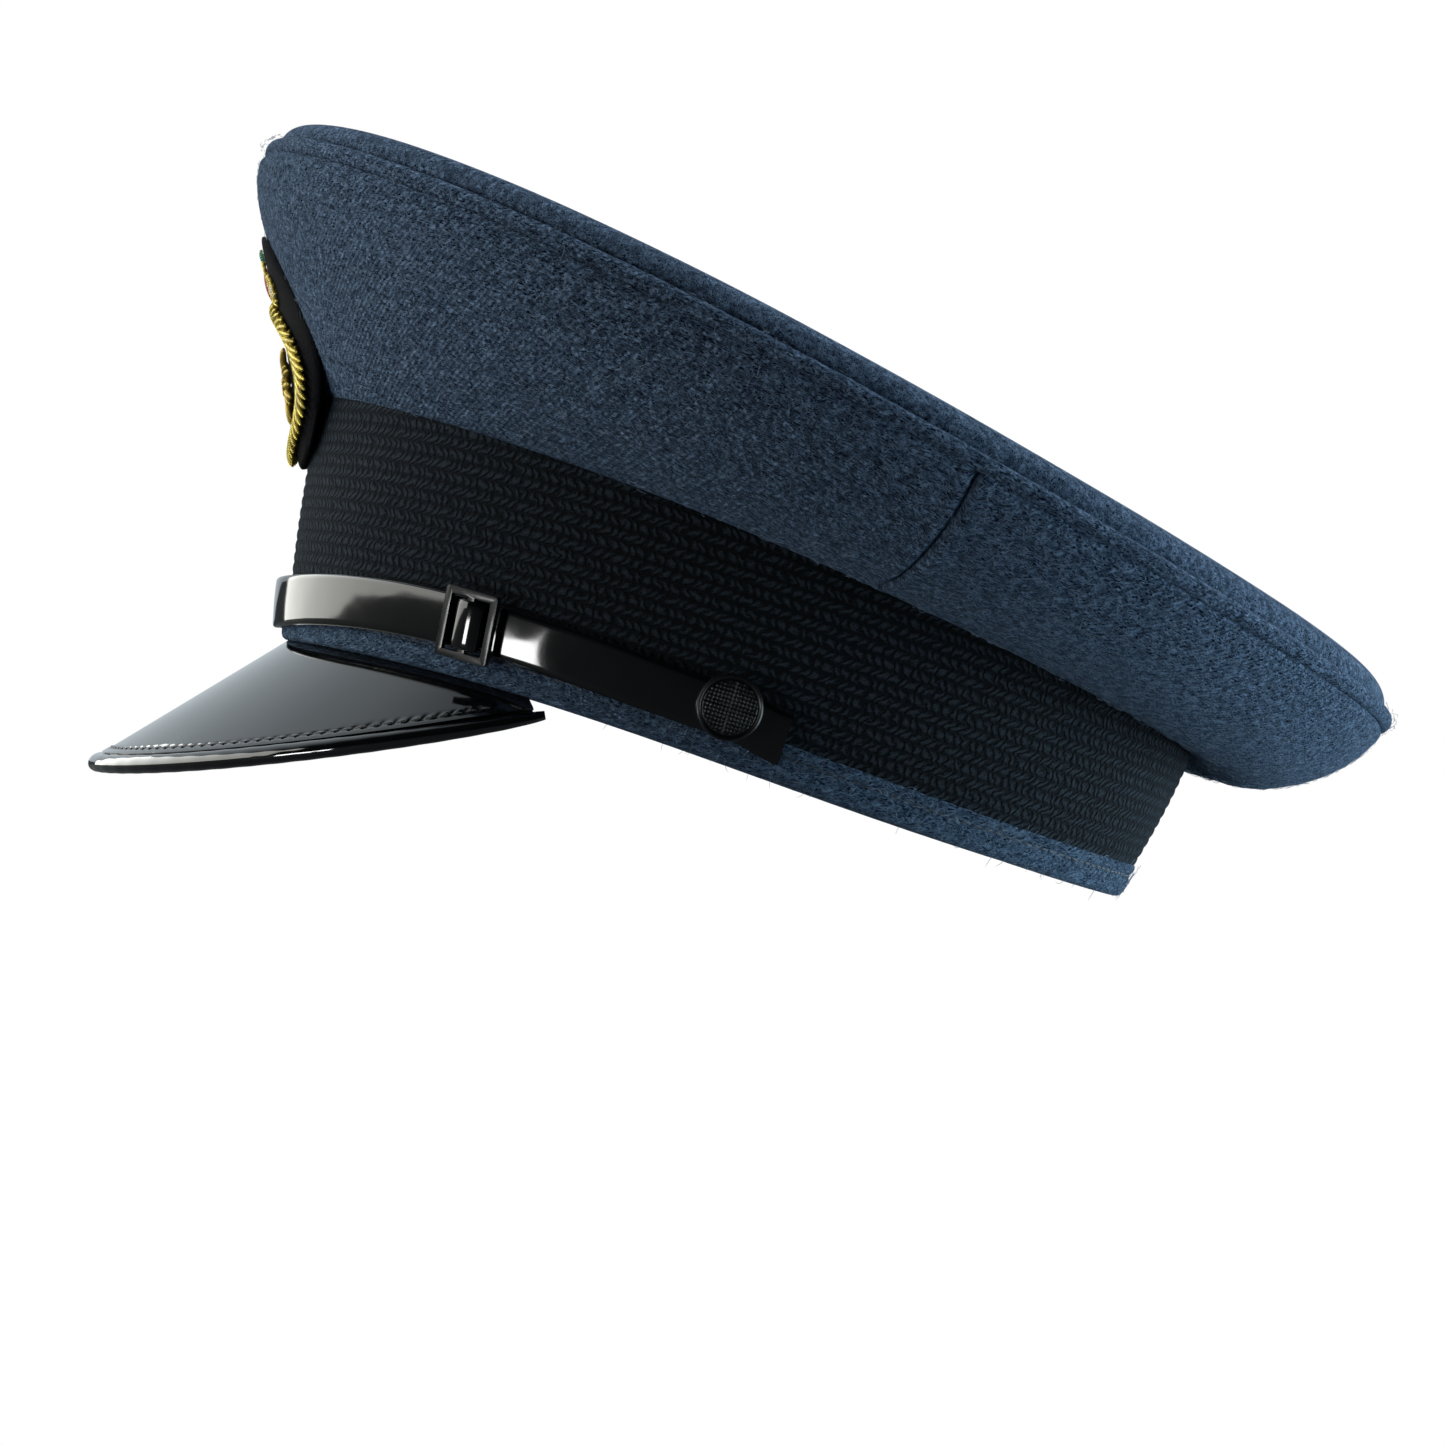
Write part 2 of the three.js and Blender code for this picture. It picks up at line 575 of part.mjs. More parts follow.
const strapOuter = CHIN_STRAP.standOff + STRAP;
const buttonSeat = strapFace(() => strapOuter)(0, BUTTON.angle).x + BUTTON.clear;
const toggleLow = BUTTON.z - TOGGLE.radius - ovalHeight(LOWER_EDGE, BUTTON.angle);
const toggleSeat = bandFace(bandShare(toggleLow, BUTTON.angle), BUTTON.angle).x
  + STIFF_BAND.offset - STIFFENER - GAP;
for (const [side, word] of [[1, 'left'], [-1, 'right']]) {
  const button = addPart(`button_${word}`, tidyBody(buttonGeometry()), BLACK_METAL);
  button.rotation.z = side > 0 ? 0 : HALF_TURN;
  button.position.set(side * buttonSeat, BUTTON.y, BUTTON.z);
  const shank = sidePin(SHANK.radius, side * (buttonSeat - GAP), side * (toggleSeat + GAP));
  addPart(`button_shank_${word}`, tidyBody(shank), BLACK_METAL);
  const toggle = sidePin(TOGGLE.radius, side * toggleSeat, side * (toggleSeat - TOGGLE.thick));
  addPart(`button_toggle_${word}`, tidyBody(toggle), STEEL);
}

// ---- Badge --------------------------------------------------------------------------------

const badgeFoot = new THREE.Vector3(0, ...BADGE.bottom);
const badgeHead = new THREE.Vector3(0, ...BADGE.top);
const badgeLength = badgeFoot.distanceTo(badgeHead);
const badgeUp = badgeHead.clone().sub(badgeFoot).normalize();
const badgeOut = new THREE.Vector3(0, -badgeUp.z, badgeUp.y);

// A place over the badge: h runs up its line from 0 to 1, x goes across, lift stands off it.
function badgePoint(h, x, lift) {
  const point = badgeFoot.clone().lerp(badgeHead, h);
  point.x = x;
  point.y += x * x / (2 * BADGE.curve) + BADGE.hollow * Math.sin(HALF_TURN * h);
  return point.addScaledVector(badgeOut, lift);
}

// Half width of the backing at the height h.
function badgeHalfWidth(h) {
  const { start, span, power } = BADGE_OUTLINE;
  return BADGE.halfWidth * Math.sin(HALF_TURN * (start + span * h)) ** power;
}

function badgeThickness(k) {
  return BADGE_BACKING.thick - BADGE_BACKING.edgeDrop * k ** BADGE_BACKING.edgePower;
}

addPart('badge_backing', shell(
  (h, k) => badgePoint(h, k * badgeHalfWidth(h), badgeThickness(k)),
  (h, k) => badgePoint(h, k * badgeHalfWidth(h), 0),
  evenly(0, 1, BADGE_BACKING.cells),
  evenly(-1, 1, BADGE_BACKING.cells),
), BADGE_FELT);

addPart('badge_ring', rope((q) => {
  const { wide, high, centre, lift } = BADGE_RING;
  return {
    centre: badgePoint(centre + high * Math.sin(q) / badgeLength, wide * Math.cos(q), lift),
    wide: new THREE.Vector3(Math.cos(q), 0, 0).addScaledVector(badgeUp, Math.sin(q)),
    high: badgeOut,
  };
}, BADGE_RING.half, BADGE_RING.thick, evenly(0, 2 * HALF_TURN, 32), 3), GOLD_WIRE);

function badgeDome({ h, x, radius, thick, sides }) {
  const dome = new THREE.SphereGeometry(1, sides, 6, 0, 2 * HALF_TURN, 0, HALF_TURN);
  dome.scale(radius, thick, radius);
  const left = new THREE.Vector3(-1, 0, 0);
  dome.applyMatrix4(new THREE.Matrix4().makeBasis(badgeUp, badgeOut, left));
  dome.translate(...badgePoint(h, x, BADGE_DOME_LIFT + thick));
  return tidyBody(dome);
}

for (const [name, dome] of BADGE_DOMES) {
  addPart(name, badgeDome(dome), BADGE_LOOKS[dome.look]);
}

export default cap;
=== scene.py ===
"""Looks of the military peaked cap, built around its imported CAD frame."""
import math

import bmesh
import bpy
import numpy as np
from mathutils import Matrix, Vector
from mathutils.kdtree import KDTree


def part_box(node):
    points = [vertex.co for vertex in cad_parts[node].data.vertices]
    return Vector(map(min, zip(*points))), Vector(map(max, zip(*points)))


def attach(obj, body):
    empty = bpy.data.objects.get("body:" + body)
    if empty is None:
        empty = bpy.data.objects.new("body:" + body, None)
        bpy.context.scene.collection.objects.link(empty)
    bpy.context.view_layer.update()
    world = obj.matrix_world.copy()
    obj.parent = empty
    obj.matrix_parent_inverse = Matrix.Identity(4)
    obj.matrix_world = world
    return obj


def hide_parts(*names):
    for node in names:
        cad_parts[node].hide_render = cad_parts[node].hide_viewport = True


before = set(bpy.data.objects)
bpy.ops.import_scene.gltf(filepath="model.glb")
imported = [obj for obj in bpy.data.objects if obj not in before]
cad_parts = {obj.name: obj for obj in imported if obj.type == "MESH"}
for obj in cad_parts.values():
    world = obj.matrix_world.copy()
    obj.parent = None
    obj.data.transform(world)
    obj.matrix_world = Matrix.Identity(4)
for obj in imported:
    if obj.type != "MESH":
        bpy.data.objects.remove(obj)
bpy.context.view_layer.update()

# ---- Driving dimensions, in millimetres. Front is -Y, the wearer's left is +X ----

MM = 0.001
DEG = math.pi / 180
FULL_TURN = 2 * math.pi
UP = np.array([0, 0, 1.0])
LOWER_EDGE = dict(a=85, b=99.1, cy=-0.1, front=0, side=3.4, back=1.7, skew=4)
BAND_TOP = dict(a=91, b=106.8, cy=-0.9, front=54.4, side=48.8, back=37.3, skew=0.9)
CROWN_RIM = dict(a=125, b=140.6, cy=5, front=101.8, side=76.8, back=55.2, skew=3.5)
BAND_FLARE = 1.5
FRONT_BULGE = dict(reach=1.28, turn_in=0.22, power=6)
BACK_BULGE = dict(reach=1.15, turn_in=0.15, power=5)
BACK_SAG = (-0.4, 2.65, -1.25)
SIDE_SEAM = 98.3 * DEG
# The crown wall's rough radius and height turn its shares into millimetres
WALL = dict(radius=108, height=52)
SEAM = dict(depth=1.15, width=0.5, ridge=0.25, ridge_at=1.8, ridge_width=1.2)
TUCK = dict(foot=0.3, foot_width=1.2, rim=0.85, rim_width=0.9)
TOP = dict(start=4, inset=1.4, lift=11, roll=30)
SWELL = dict(voxel=5, pressure=4, frames=20, cap=0.9)
PIPING = dict(radius=1.75, rise=2.2)
WELT_HEIGHT = 8
RIB_PITCH = 2.5
RIBS = 19
STRAND_PITCH = 2.1
CLOTH = 1.2
STRAP = dict(width=10.8, height=16.9, front_drop=8.8, side_fall=2.8, stand_off=1.3, thick=0.8,
             layer=1.15, tab_start=88 * DEG, tab_end=95 * DEG, tab_droop=2)
BUTTON = dict(y=-4.5, z=14.6, radius=7, grid=0.82, relief=0.28)
BUCKLE = dict(angle=55.3 * DEG, depth=1.4, rounding=0.28)
PEAK = dict(end=65 * DEG, horn=67 * DEG, horn_out=0.5, inset=1, tuck=1.25, tip_y=-131,
            tip_z=-38.9, rise=40.6, power=1.15)
STITCH = dict(gap=3.15, margin=4.3, flange=0.28, depth=0.5)
BADGE = dict(bottom=(-107.2, 38.5), top=(-131.4, 86), half=26, curve=90, hollow=2.5)
RING = dict(h=0.375, wide=19.2, high=15.8, bars=52)
FIBRES = dict(crown=2600, welt=600, rim=700, radius=0.055, clear=75 * DEG)
TINY = 1e-3

# The camera sees the cap's left side from just in front of it, tipped to one side
CAMERA = dict(azimuth=86 * DEG, elevation=-0.71 * DEG, roll=17.65 * DEG, distance=817,
              target=(0, 1.4, 12.4), lens=88.59)


# ---- Faces of the cap: every function takes arrays and gives points in millimetres ----

def mix(a, b, share):
    return a + (b - a) * share


def bell(x, width):
    return np.exp(-(x / width) ** 2)


def smooth_step(x, low, high):
    s = np.clip((x - low) / (high - low), 0, 1)
    return s * s * (3 - 2 * s)


def unit(vectors):
    return vectors / np.maximum(np.linalg.norm(vectors, axis=-1, keepdims=True), 1e-12)


def oval_height(oval, t):
    c, s2 = np.cos(t), np.sin(t) ** 2
    middle = (oval["front"] + oval["back"]) / 2
    return (oval["front"] * (1 + c) / 2 + oval["back"] * (1 - c) / 2
            + (oval["side"] - middle) * s2 + oval["skew"] * s2 * c)


def between(low, high, out, up, t):
    x = mix(low["a"], high["a"], out) * np.sin(t)
    y = mix(low["cy"], high["cy"], out) - mix(low["b"], high["b"], out) * np.cos(t)
    z = mix(oval_height(low, t), oval_height(high, t), up)
    return np.stack(np.broadcast_arrays(x, y, z), -1)


def band_face(v, t):
    return between(LOWER_EDGE, BAND_TOP, 1 - np.maximum(1 - v, 0) ** BAND_FLARE, v, t)


def band_share(z, t):
    return z / (oval_height(BAND_TOP, t) - oval_height(LOWER_EDGE, t))


def crown_face(u, t):
    back = (1 - np.cos(t)) / 2

    def out(bulge):
        return bulge["reach"] * u - bulge["turn_in"] * u ** bulge["power"]
    cube, square, line = BACK_SAG
    back_up = cube * u ** 3 + square * u ** 2 + line * u
    return between(BAND_TOP, CROWN_RIM, mix(out(FRONT_BULGE), out(BACK_BULGE), back),
                   mix(u, back_up, back), t)


def top_face(r, t, inset=0, drop=0):
    a, b = CROWN_RIM["a"] - TOP["inset"] - inset, CROWN_RIM["b"] - TOP["inset"] - inset
    c = np.cos(t)
    middle = (CROWN_RIM["front"] + CROWN_RIM["back"]) / 2
    rake = (CROWN_RIM["front"] - CROWN_RIM["back"]) / 2
    rim = oval_height(CROWN_RIM, t) - middle - rake * c
    roll = np.sqrt(1 - np.minimum(r, 1) ** TOP["roll"])
    z = middle + rake * r * c + r * r * rim + mix(TOP["start"], TOP["lift"], roll) - drop
    return np.stack(np.broadcast_arrays(r * a * np.sin(t), CROWN_RIM["cy"] - r * b * c, z), -1)


def normal_of(face, u, t):
    along = face(u, t + TINY) - face(u, t - TINY)
    up = face(u + TINY, t) - face(u - TINY, t)
    return unit(np.cross(along, up))


def frames_on(face, u, t):
    """Points on a face, and their unit directions along, up and out."""
    out = normal_of(face, u, t)
    along = unit(face(u, t + TINY) - face(u, t - TINY))
    return face(u, t), along, np.cross(out, along), out


def moved(face, distance):
    """The face moved along its normal by a number or by distance(u, t)."""
    def at(u, t):
        far = distance(u, t) if callable(distance) else distance
        return face(u, t) + normal_of(face, u, t) * np.asarray(far, float)[..., None]
    return at


def off_band(z, t, far):
    """Points z above the headband's lower edge, and far out from its face."""
    return moved(band_face, far)(band_share(z, t), t)


def ripple(u, t, size, seed):
    """Small soft waves of worn cloth."""
    return size * (np.sin(3 * t + seed) * np.cos(5 * u + 2 * seed)
                   + 0.6 * np.sin(8 * t + 3 * seed + 3 * u)
                   + 0.4 * np.sin(17 * t + seed + 9 * u))


# ---- Rows and columns of the grids ----

def angles(start, end, step=0.75 * DEG):
    return np.linspace(start, end, max(2, int(round((end - start) / step)) + 1))


def gathered(count, strength):
    """Shares from 0 to 1 that gather at both ends, so that a fold there has enough rows."""
    s = np.linspace(0, 1, count)
    return s - strength * np.sin(FULL_TURN * s) / FULL_TURN


def toward_rim(count):
    """Shares from the centre, 0, to the rim, 1, that gather at the rim."""
    return 1 - (1 - np.linspace(0, 1, count)) ** 2


# ---- Mesh building ----

def mesh_object(name, verts, faces, uvs=None, sharp=50 * DEG):
    mesh = bpy.data.meshes.new(name)
    mesh.from_pydata([tuple(p) for p in np.asarray(verts) * MM], [], faces)
    if uvs is not None:
        layer = mesh.uv_layers.new(name="UVMap")
        layer.data.foreach_set("uv", np.asarray(uvs, np.float32).ravel())
    work = bmesh.new()
    work.from_mesh(mesh)
    bmesh.ops.remove_doubles(work, verts=work.verts, dist=1e-7)
    bmesh.ops.dissolve_degenerate(work, edges=work.edges, dist=1e-8)
    bmesh.ops.recalc_face_normals(work, faces=work.faces)
    work.to_mesh(mesh)
    work.free()
    mesh.shade_smooth()
    mesh.set_sharp_from_angle(angle=sharp)
    obj = bpy.data.objects.new(name, mesh)
    bpy.context.scene.collection.objects.link(obj)
    return obj


def arc_lengths(points, axis):
    steps = np.linalg.norm(np.diff(points, axis=axis), axis=-1)
    start = np.zeros_like(np.take(steps, [0], axis=axis))
    return np.concatenate([start, np.cumsum(steps, axis=axis)], axis=axis)


def shell(name, outer, inner, rows, columns, plan=False, sharp=50 * DEG):
    """One closed body between two faces on one grid, with a map in millimetres."""
    rows, columns = np.asarray(rows, float), np.asarray(columns, float)
    full = abs(columns[-1] - columns[0] - FULL_TURN) < 1e-9
    high, wide = len(rows), len(columns)
    sides = [face(rows[:, None], columns[None, :]) for face in (outer, inner)]
    verts = np.concatenate([s.reshape(-1, 3) for s in sides])
    if plan:
        flat = sides[0][..., :2]
    else:
        across = arc_lengths(sides[0], 1)
        across = across - across[:, [wide // 2]]
        flat = np.stack([across, arc_lengths(sides[0], 0)], -1)
    flat = np.concatenate([flat.reshape(-1, 2)] * 2)
    o, i = np.arange(2 * high * wide).reshape(2, high, wide)
    quads = [
        np.stack([o[:-1, :-1], o[:-1, 1:], o[1:, 1:], o[1:, :-1]], -1),
        np.stack([i[:-1, :-1], i[1:, :-1], i[1:, 1:], i[:-1, 1:]], -1),
        np.stack([i[0, :-1], i[0, 1:], o[0, 1:], o[0, :-1]], -1),
        np.stack([o[-1, :-1], o[-1, 1:], i[-1, 1:], i[-1, :-1]], -1),
    ]
    if not full:
        quads.append(np.stack([o[:-1, 0], o[1:, 0], i[1:, 0], i[:-1, 0]], -1))
        quads.append(np.stack([i[:-1, -1], i[1:, -1], o[1:, -1], o[:-1, -1]], -1))
    quads = np.concatenate([q.reshape(-1, 4) for q in quads])
    return mesh_object(name, verts, quads.tolist(), flat[quads.ravel()], sharp)


def tube(name, centres, wide, high, sides=12, closed=False):
    """A round or flat rope: wide and high are its two half axes at each centre."""
    turn = np.linspace(0, FULL_TURN, sides, endpoint=False)
    rings = (centres[:, None] + wide[:, None] * np.cos(turn)[None, :, None]
             + high[:, None] * np.sin(turn)[None, :, None])
    count = len(centres)
    run = arc_lengths(centres, 0)
    girth = np.linalg.norm(wide[0]) + np.linalg.norm(high[0])
    faces, uvs = [], []
    for k in range(count if closed else count - 1):
        n = (k + 1) % count
        far = run[n] if n else run[-1] + np.linalg.norm(centres[0] - centres[-1])
        for s in range(sides):
            e = (s + 1) % sides
            faces.append((k * sides + s, n * sides + s, n * sides + e, k * sides + e))
            v0, v1 = s / sides * math.pi * girth, (s + 1) / sides * math.pi * girth
            uvs += [(run[k], v0), (far, v0), (far, v1), (run[k], v1)]
    if not closed:
        for first, order in ((0, 1), ((count - 1) * sides, -1)):
            faces.append(tuple(range(first, first + sides))[::order])
            uvs += [(0, 0)] * sides
    return mesh_object(name, rings.reshape(-1, 3), faces, uvs)


def sleeve(rings, sides):
    """Quads that join rings of points, each with the same number of sides."""
    return [(k * sides + q, (k + 1) * sides + q, (k + 1) * sides + (q + 1) % sides,
             k * sides + (q + 1) % sides)
            for k in range(rings - 1) for q in range(sides)]


def repeated(faces, copies, points):
    """The same faces for each of many copies that have so many points each."""
    return np.array(faces)[None] + (np.arange(copies) * points)[:, None, None]


def stitches(name, length, radius, frames, sides=8, rings=8):
    """Short round-ended bars of thread, one on each frame, lying along it."""
    s = np.linspace(0, math.pi, rings)
    x = -np.cos(s) * (length / 2)
    r = radius * np.sin(s) ** 0.6
    turn = np.linspace(0, FULL_TURN, sides, endpoint=False)
    bar = np.stack([np.repeat(x, sides), np.outer(r, np.cos(turn)).ravel(),
                    np.outer(r, np.sin(turn)).ravel()], -1)
    place, *axes = (part[:, None] for part in frames)
    verts = place + sum(bar[:, [k]] * axis for k, axis in enumerate(axes))
    faces = repeated(sleeve(rings, sides), len(place), len(bar))
    return mesh_object(name, verts.reshape(-1, 3), faces.reshape(-1, 4).tolist())


def finish_modifiers(obj):
    bpy.context.view_layer.objects.active = obj
    for modifier in list(obj.modifiers):
        bpy.ops.object.modifier_apply(modifier=modifier.name)
    return obj


# ---- Materials ----

class Nodes:
    """A node tree. A socket given as an input is linked, and any other value is set."""

    def __init__(self, tree):
        self.tree = tree

    def set(self, node, inputs):
        for key, value in inputs.items():
            if isinstance(value, bpy.types.NodeSocket):
                self.tree.links.new(value, node.inputs[key])
            else:
                node.inputs[key].default_value = value

    def node(self, kind, inputs=None, **settings):
        node = self.tree.nodes.new("ShaderNode" + kind)
        for key, value in settings.items():
            setattr(node, key, value)
        self.set(node, inputs or {})
        return node

    def math(self, operation, a, b=0.0):
        return self.node("Math", {0: a, 1: b}, operation=operation).outputs[0]

    def line(self, value, factor, offset):
        return self.math("ADD", self.math("MULTIPLY", value, factor), offset)

    def ramp(self, value, low, high, start=0.0, end=1.0, curve="LINEAR"):
        return self.node("MapRange", {"Value": value, "From Min": low, "From Max": high,
                                      "To Min": start, "To Max": end},
                         interpolation_type=curve).outputs[0]


class Paint(Nodes):
    """A procedural material on one Principled shader."""

    def __init__(self, name, color, roughness, metallic=0.0, **sockets):
        self.material = bpy.data.materials.new(name)
        self.material.use_nodes = True
        super().__init__(self.material.node_tree)
        self.shader = self.tree.nodes["Principled BSDF"]
        self.finish(Base_Color=(*color, 1), Roughness=roughness, Metallic=metallic, **sockets)

    def finish(self, **sockets):
        self.set(self.shader, {key.replace("_", " "): value for key, value in sockets.items()})
        return self.material

    def mapping(self, vector, turn, scale):
        scale = scale if isinstance(scale, tuple) else (scale, scale, scale)
        return self.node("Mapping", {"Vector": vector, "Rotation": turn,
                                     "Scale": scale}).outputs[0]

    def uv(self, turn=0.0, scale=1):
        """The piece's own map, in millimetres."""
        return self.mapping(self.node("UVMap", uv_map="UVMap").outputs["UV"], (0, 0, turn), scale)

    def place(self, scale, turn=(0, 0, 0)):
        """The place in the cap's frame, in metres."""
        return self.mapping(self.node("TexCoord").outputs["Object"], turn, scale)

    def noise(self, vector, detail=2.0, roughness=0.5, distortion=0.0):
        return self.node("TexNoise", {"Vector": vector, "Scale": 1.0, "Detail": detail,
                                      "Roughness": roughness,
                                      "Distortion": distortion}).outputs["Fac"]

    def wave(self, vector, scale, distortion, detail_scale=1.0):
        return self.node("TexWave", {"Vector": vector, "Scale": scale, "Distortion": distortion,
                                     "Detail": 2.0, "Detail Scale": detail_scale},
                         wave_type="BANDS", bands_direction="X").outputs["Fac"]

    def blend(self, share, a, b):
        node = self.node("Mix", {0: share}, data_type="RGBA")
        sockets = [s for s in node.inputs if s.type == "RGBA"]
        for socket, value in zip(sockets, (a, b)):
            if isinstance(value, bpy.types.NodeSocket):
                self.tree.links.new(value, socket)
            else:
                socket.default_value = (*value, 1)
        return [s for s in node.outputs if s.type == "RGBA"][0]

    def bump(self, height, strength, distance):
        return self.node("Bump", {"Height": height, "Strength": strength,
                                  "Distance": distance}).outputs[0]


def shade(color, factor):
    return tuple(c * factor for c in color)


def wool(name, dark, middle, light, slant=62 * DEG, mapped=True):
    """Melange twill: fine curled light fibres over a dark ground with faint diagonal rows."""
    p = Paint(name, middle, 0.95, Sheen_Weight=0.18, Sheen_Roughness=0.4,
              Sheen_Tint=(0.42, 0.66, 0.95, 1), Specular_IOR_Level=0.06)

    def cloth(turn, along, across):
        if mapped:
            return p.uv(turn, (along, across, 1))
        return p.place((along / MM, across / MM, across / MM), (0.6, 0.5, turn))
    fibres = 0.0
    for turn in (slant, slant - 75 * DEG, slant + 40 * DEG):
        layer = p.noise(cloth(turn, 0.45, 1.5), 1.0, distortion=1.5)
        off_line = p.math("ABSOLUTE", p.math("SUBTRACT", layer, 0.56))
        fibres = p.math("MAXIMUM", fibres, p.ramp(off_line, 0.055, 0.022))
    grain = p.noise(cloth(slant, 1.3, 2.6), 2.0, 0.6)
    mottle = p.noise(cloth(0, 0.1, 0.1), 3.0, 0.6)
    rows = p.wave(cloth(slant - 20 * DEG, 1, 1), 0.27, 2.2, 1.5)
    ground = p.blend(p.ramp(grain, 0.42, 0.58), dark, middle)
    ground = p.blend(p.math("MULTIPLY", rows, 0.4), ground, dark)
    ground = p.blend(p.ramp(mottle, 0.35, 0.75, end=0.35), ground, dark)
    fade = p.ramp(p.noise(cloth(0, 0.6, 0.6), 1.0), 0.35, 0.6, 0.35, 0.95)
    fibres = p.math("MULTIPLY", fibres, fade)
    height = p.line(rows, 0.5, p.math("ADD", fibres, grain))
    return p.finish(Base_Color=p.blend(fibres, ground, light), Normal=p.bump(height, 1.0, 0.0005))


def braid(name):
    """Mohair braid: rows of slanted stitches, leaning one way and then the other."""
    p = Paint(name, (0.004, 0.005, 0.007), 0.9, Sheen_Weight=0.08, Sheen_Roughness=0.4,
              Sheen_Tint=(0.5, 0.75, 1.0, 1), Specular_IOR_Level=0.12)
    place = p.node("SeparateXYZ", {0: p.uv()}).outputs
    row = p.math("DIVIDE", place[1], RIB_PITCH)
    across, number = p.math("FRACT", row), p.math("FLOOR", row)
    turn = p.line(p.math("MODULO", number, 2), 2, -1)
    lean = p.math("MULTIPLY", p.math("MULTIPLY", turn, across), 0.85)
    along = p.math("ADD", p.math("DIVIDE", place[0], STRAND_PITCH), p.line(number, 0.37, lean))
    along = p.line(p.noise(p.uv(0, (0.4, 0.4, 1)), 3.0), 2.2, along)
    strand = p.math("ABSOLUTE", p.math("SINE", p.math("MULTIPLY", along, math.pi)))
    body = p.math("POWER", p.math("SINE", p.math("MULTIPLY", across, math.pi)), 0.5)
    fibres = p.noise(p.uv(35 * DEG, (1.4, 4.2, 1)), 3.0, 0.65)
    height = p.line(fibres, 1.1, p.math("MULTIPLY", strand, body))
    # Painted highlight: the colour turns lighter where the strands and fibres stand highest.
    colour = p.blend(p.ramp(height, 1.05, 1.6), (0.0010, 0.0016, 0.003), (0.03, 0.042, 0.056))
    return p.finish(Base_Color=colour, Normal=p.bump(height, 1.0, 0.0007))


def patent(name, wave, coat, wear=0.05):
    """Patent leather: a deep gloss skin with soft dents and faint wipe marks."""
    p = Paint(name, (0.0022, 0.0026, 0.003), 0.1, Coat_Weight=coat, Coat_Roughness=0.06,
              Specular_IOR_Level=0.5)
    wipes = p.noise(p.place((35, 140, 90)), 4.0, 0.7)
    return p.finish(Roughness=p.ramp(wipes, 0.45, 0.8, 0.07, 0.07 + wear),
                    Normal=p.bump(p.noise(p.place(55), 1.5), wave, 0.0012))


def leather(name, dark, light, scale, rough):
    """Grained skin, lighter where it is rubbed."""
    p = Paint(name, dark, rough, Specular_IOR_Level=0.4)
    cells = p.node("TexVoronoi", {"Vector": p.place(scale), "Scale": 1.0},
                   feature="DISTANCE_TO_EDGE").outputs["Distance"]
    creases = p.ramp(cells, 0.0, 0.16)
    worn = p.noise(p.place(45), 4.0, 0.6)
    colour = p.blend(p.math("MULTIPLY", p.ramp(worn, 0.35, 0.7), creases), dark, light)
    return p.finish(Base_Color=colour, Roughness=p.line(worn, 0.3, rough - 0.15),
                    Normal=p.bump(creases, 0.5, 0.0002))


def satin(name, dark, light):
    p = Paint(name, dark, 0.4, Sheen_Weight=0.4, Sheen_Roughness=0.3, Specular_IOR_Level=0.5,
              Anisotropic=0.5)
    threads = p.noise(p.uv(0, (0.25, 6.0, 1)))
    weft = p.noise(p.uv(0, (5.0, 0.3, 1)))
    height = p.line(p.noise(p.place(25)), 3.0, p.math("ADD", threads, weft))
    return p.finish(Base_Color=p.blend(p.ramp(threads, 0.35, 0.65), dark, light),
                    Normal=p.bump(height, 0.25, 0.0003))


def lacquer(name, rough, scale):
    """Black lacquered metal, rubbed a little brighter in scattered patches."""
    black = (0.002, 0.0025, 0.0035)
    p = Paint(name, black, rough, Coat_Weight=0.2, Coat_Roughness=0.15, Specular_IOR_Level=0.3)
    rub = p.noise(p.place(160), 5.0, 0.7)
    return p.finish(Base_Color=p.blend(p.ramp(rub, 0.6, 0.85), black, (0.01, 0.012, 0.014)),
                    Roughness=p.line(rub, 0.25, rough - 0.1),
                    Normal=p.bump(p.noise(p.place(scale)), 0.12, 0.0001))


def bullion(name, color, rough=0.28):
    """Fine wire wound into a coil: rings across the bar, with a few dull spots."""
    p = Paint(name, color, rough, 0.7)
    dull = p.noise(p.place(400), 3.0)
    return p.finish(Base_Color=p.blend(p.ramp(dull, 0.4, 0.7), color, shade(color, 0.45)),
                    Roughness=p.line(dull, 0.3, rough - 0.1),
                    Normal=p.bump(p.wave(p.uv(), 0.9, 0.6), 1.0, 0.0003))


def thread(name, color, gloss=0.5):
    p = Paint(name, color, gloss, Sheen_Weight=0.3, Sheen_Roughness=0.4)
    twist = p.noise(p.place(2500))
    return p.finish(Base_Color=p.blend(p.ramp(twist, 0.3, 0.7), shade(color, 0.6), color),
                    Normal=p.bump(twist, 0.8, 0.0002))


def felt(name, color):
    p = Paint(name, color, 1.0, Sheen_Weight=0.06, Sheen_Roughness=0.5, Specular_IOR_Level=0.05)
    nap = p.noise(p.place(1500), 4.0, 0.7)
    return p.finish(Base_Color=p.blend(p.ramp(nap, 0.35, 0.75), shade(color, 0.4), color),
                    Normal=p.bump(nap, 0.9, 0.0004))


def metal(name, color, rough=0.3):
    p = Paint(name, color, rough, 1.0)
    draw = p.noise(p.place((150, 900, 900)), 3.0)
    return p.finish(Roughness=p.line(draw, 0.25, rough - 0.1), Normal=p.bump(draw, 0.15, 0.0001))


def vinyl(name):
    p = Paint(name, (0.75, 0.8, 0.82), 0.15, Alpha=0.28, Specular_IOR_Level=0.6)
    haze = p.noise(p.place(30), 3.0)
    return p.finish(Roughness=p.line(haze, 0.2, 0.08), Normal=p.bump(haze, 0.3, 0.001))


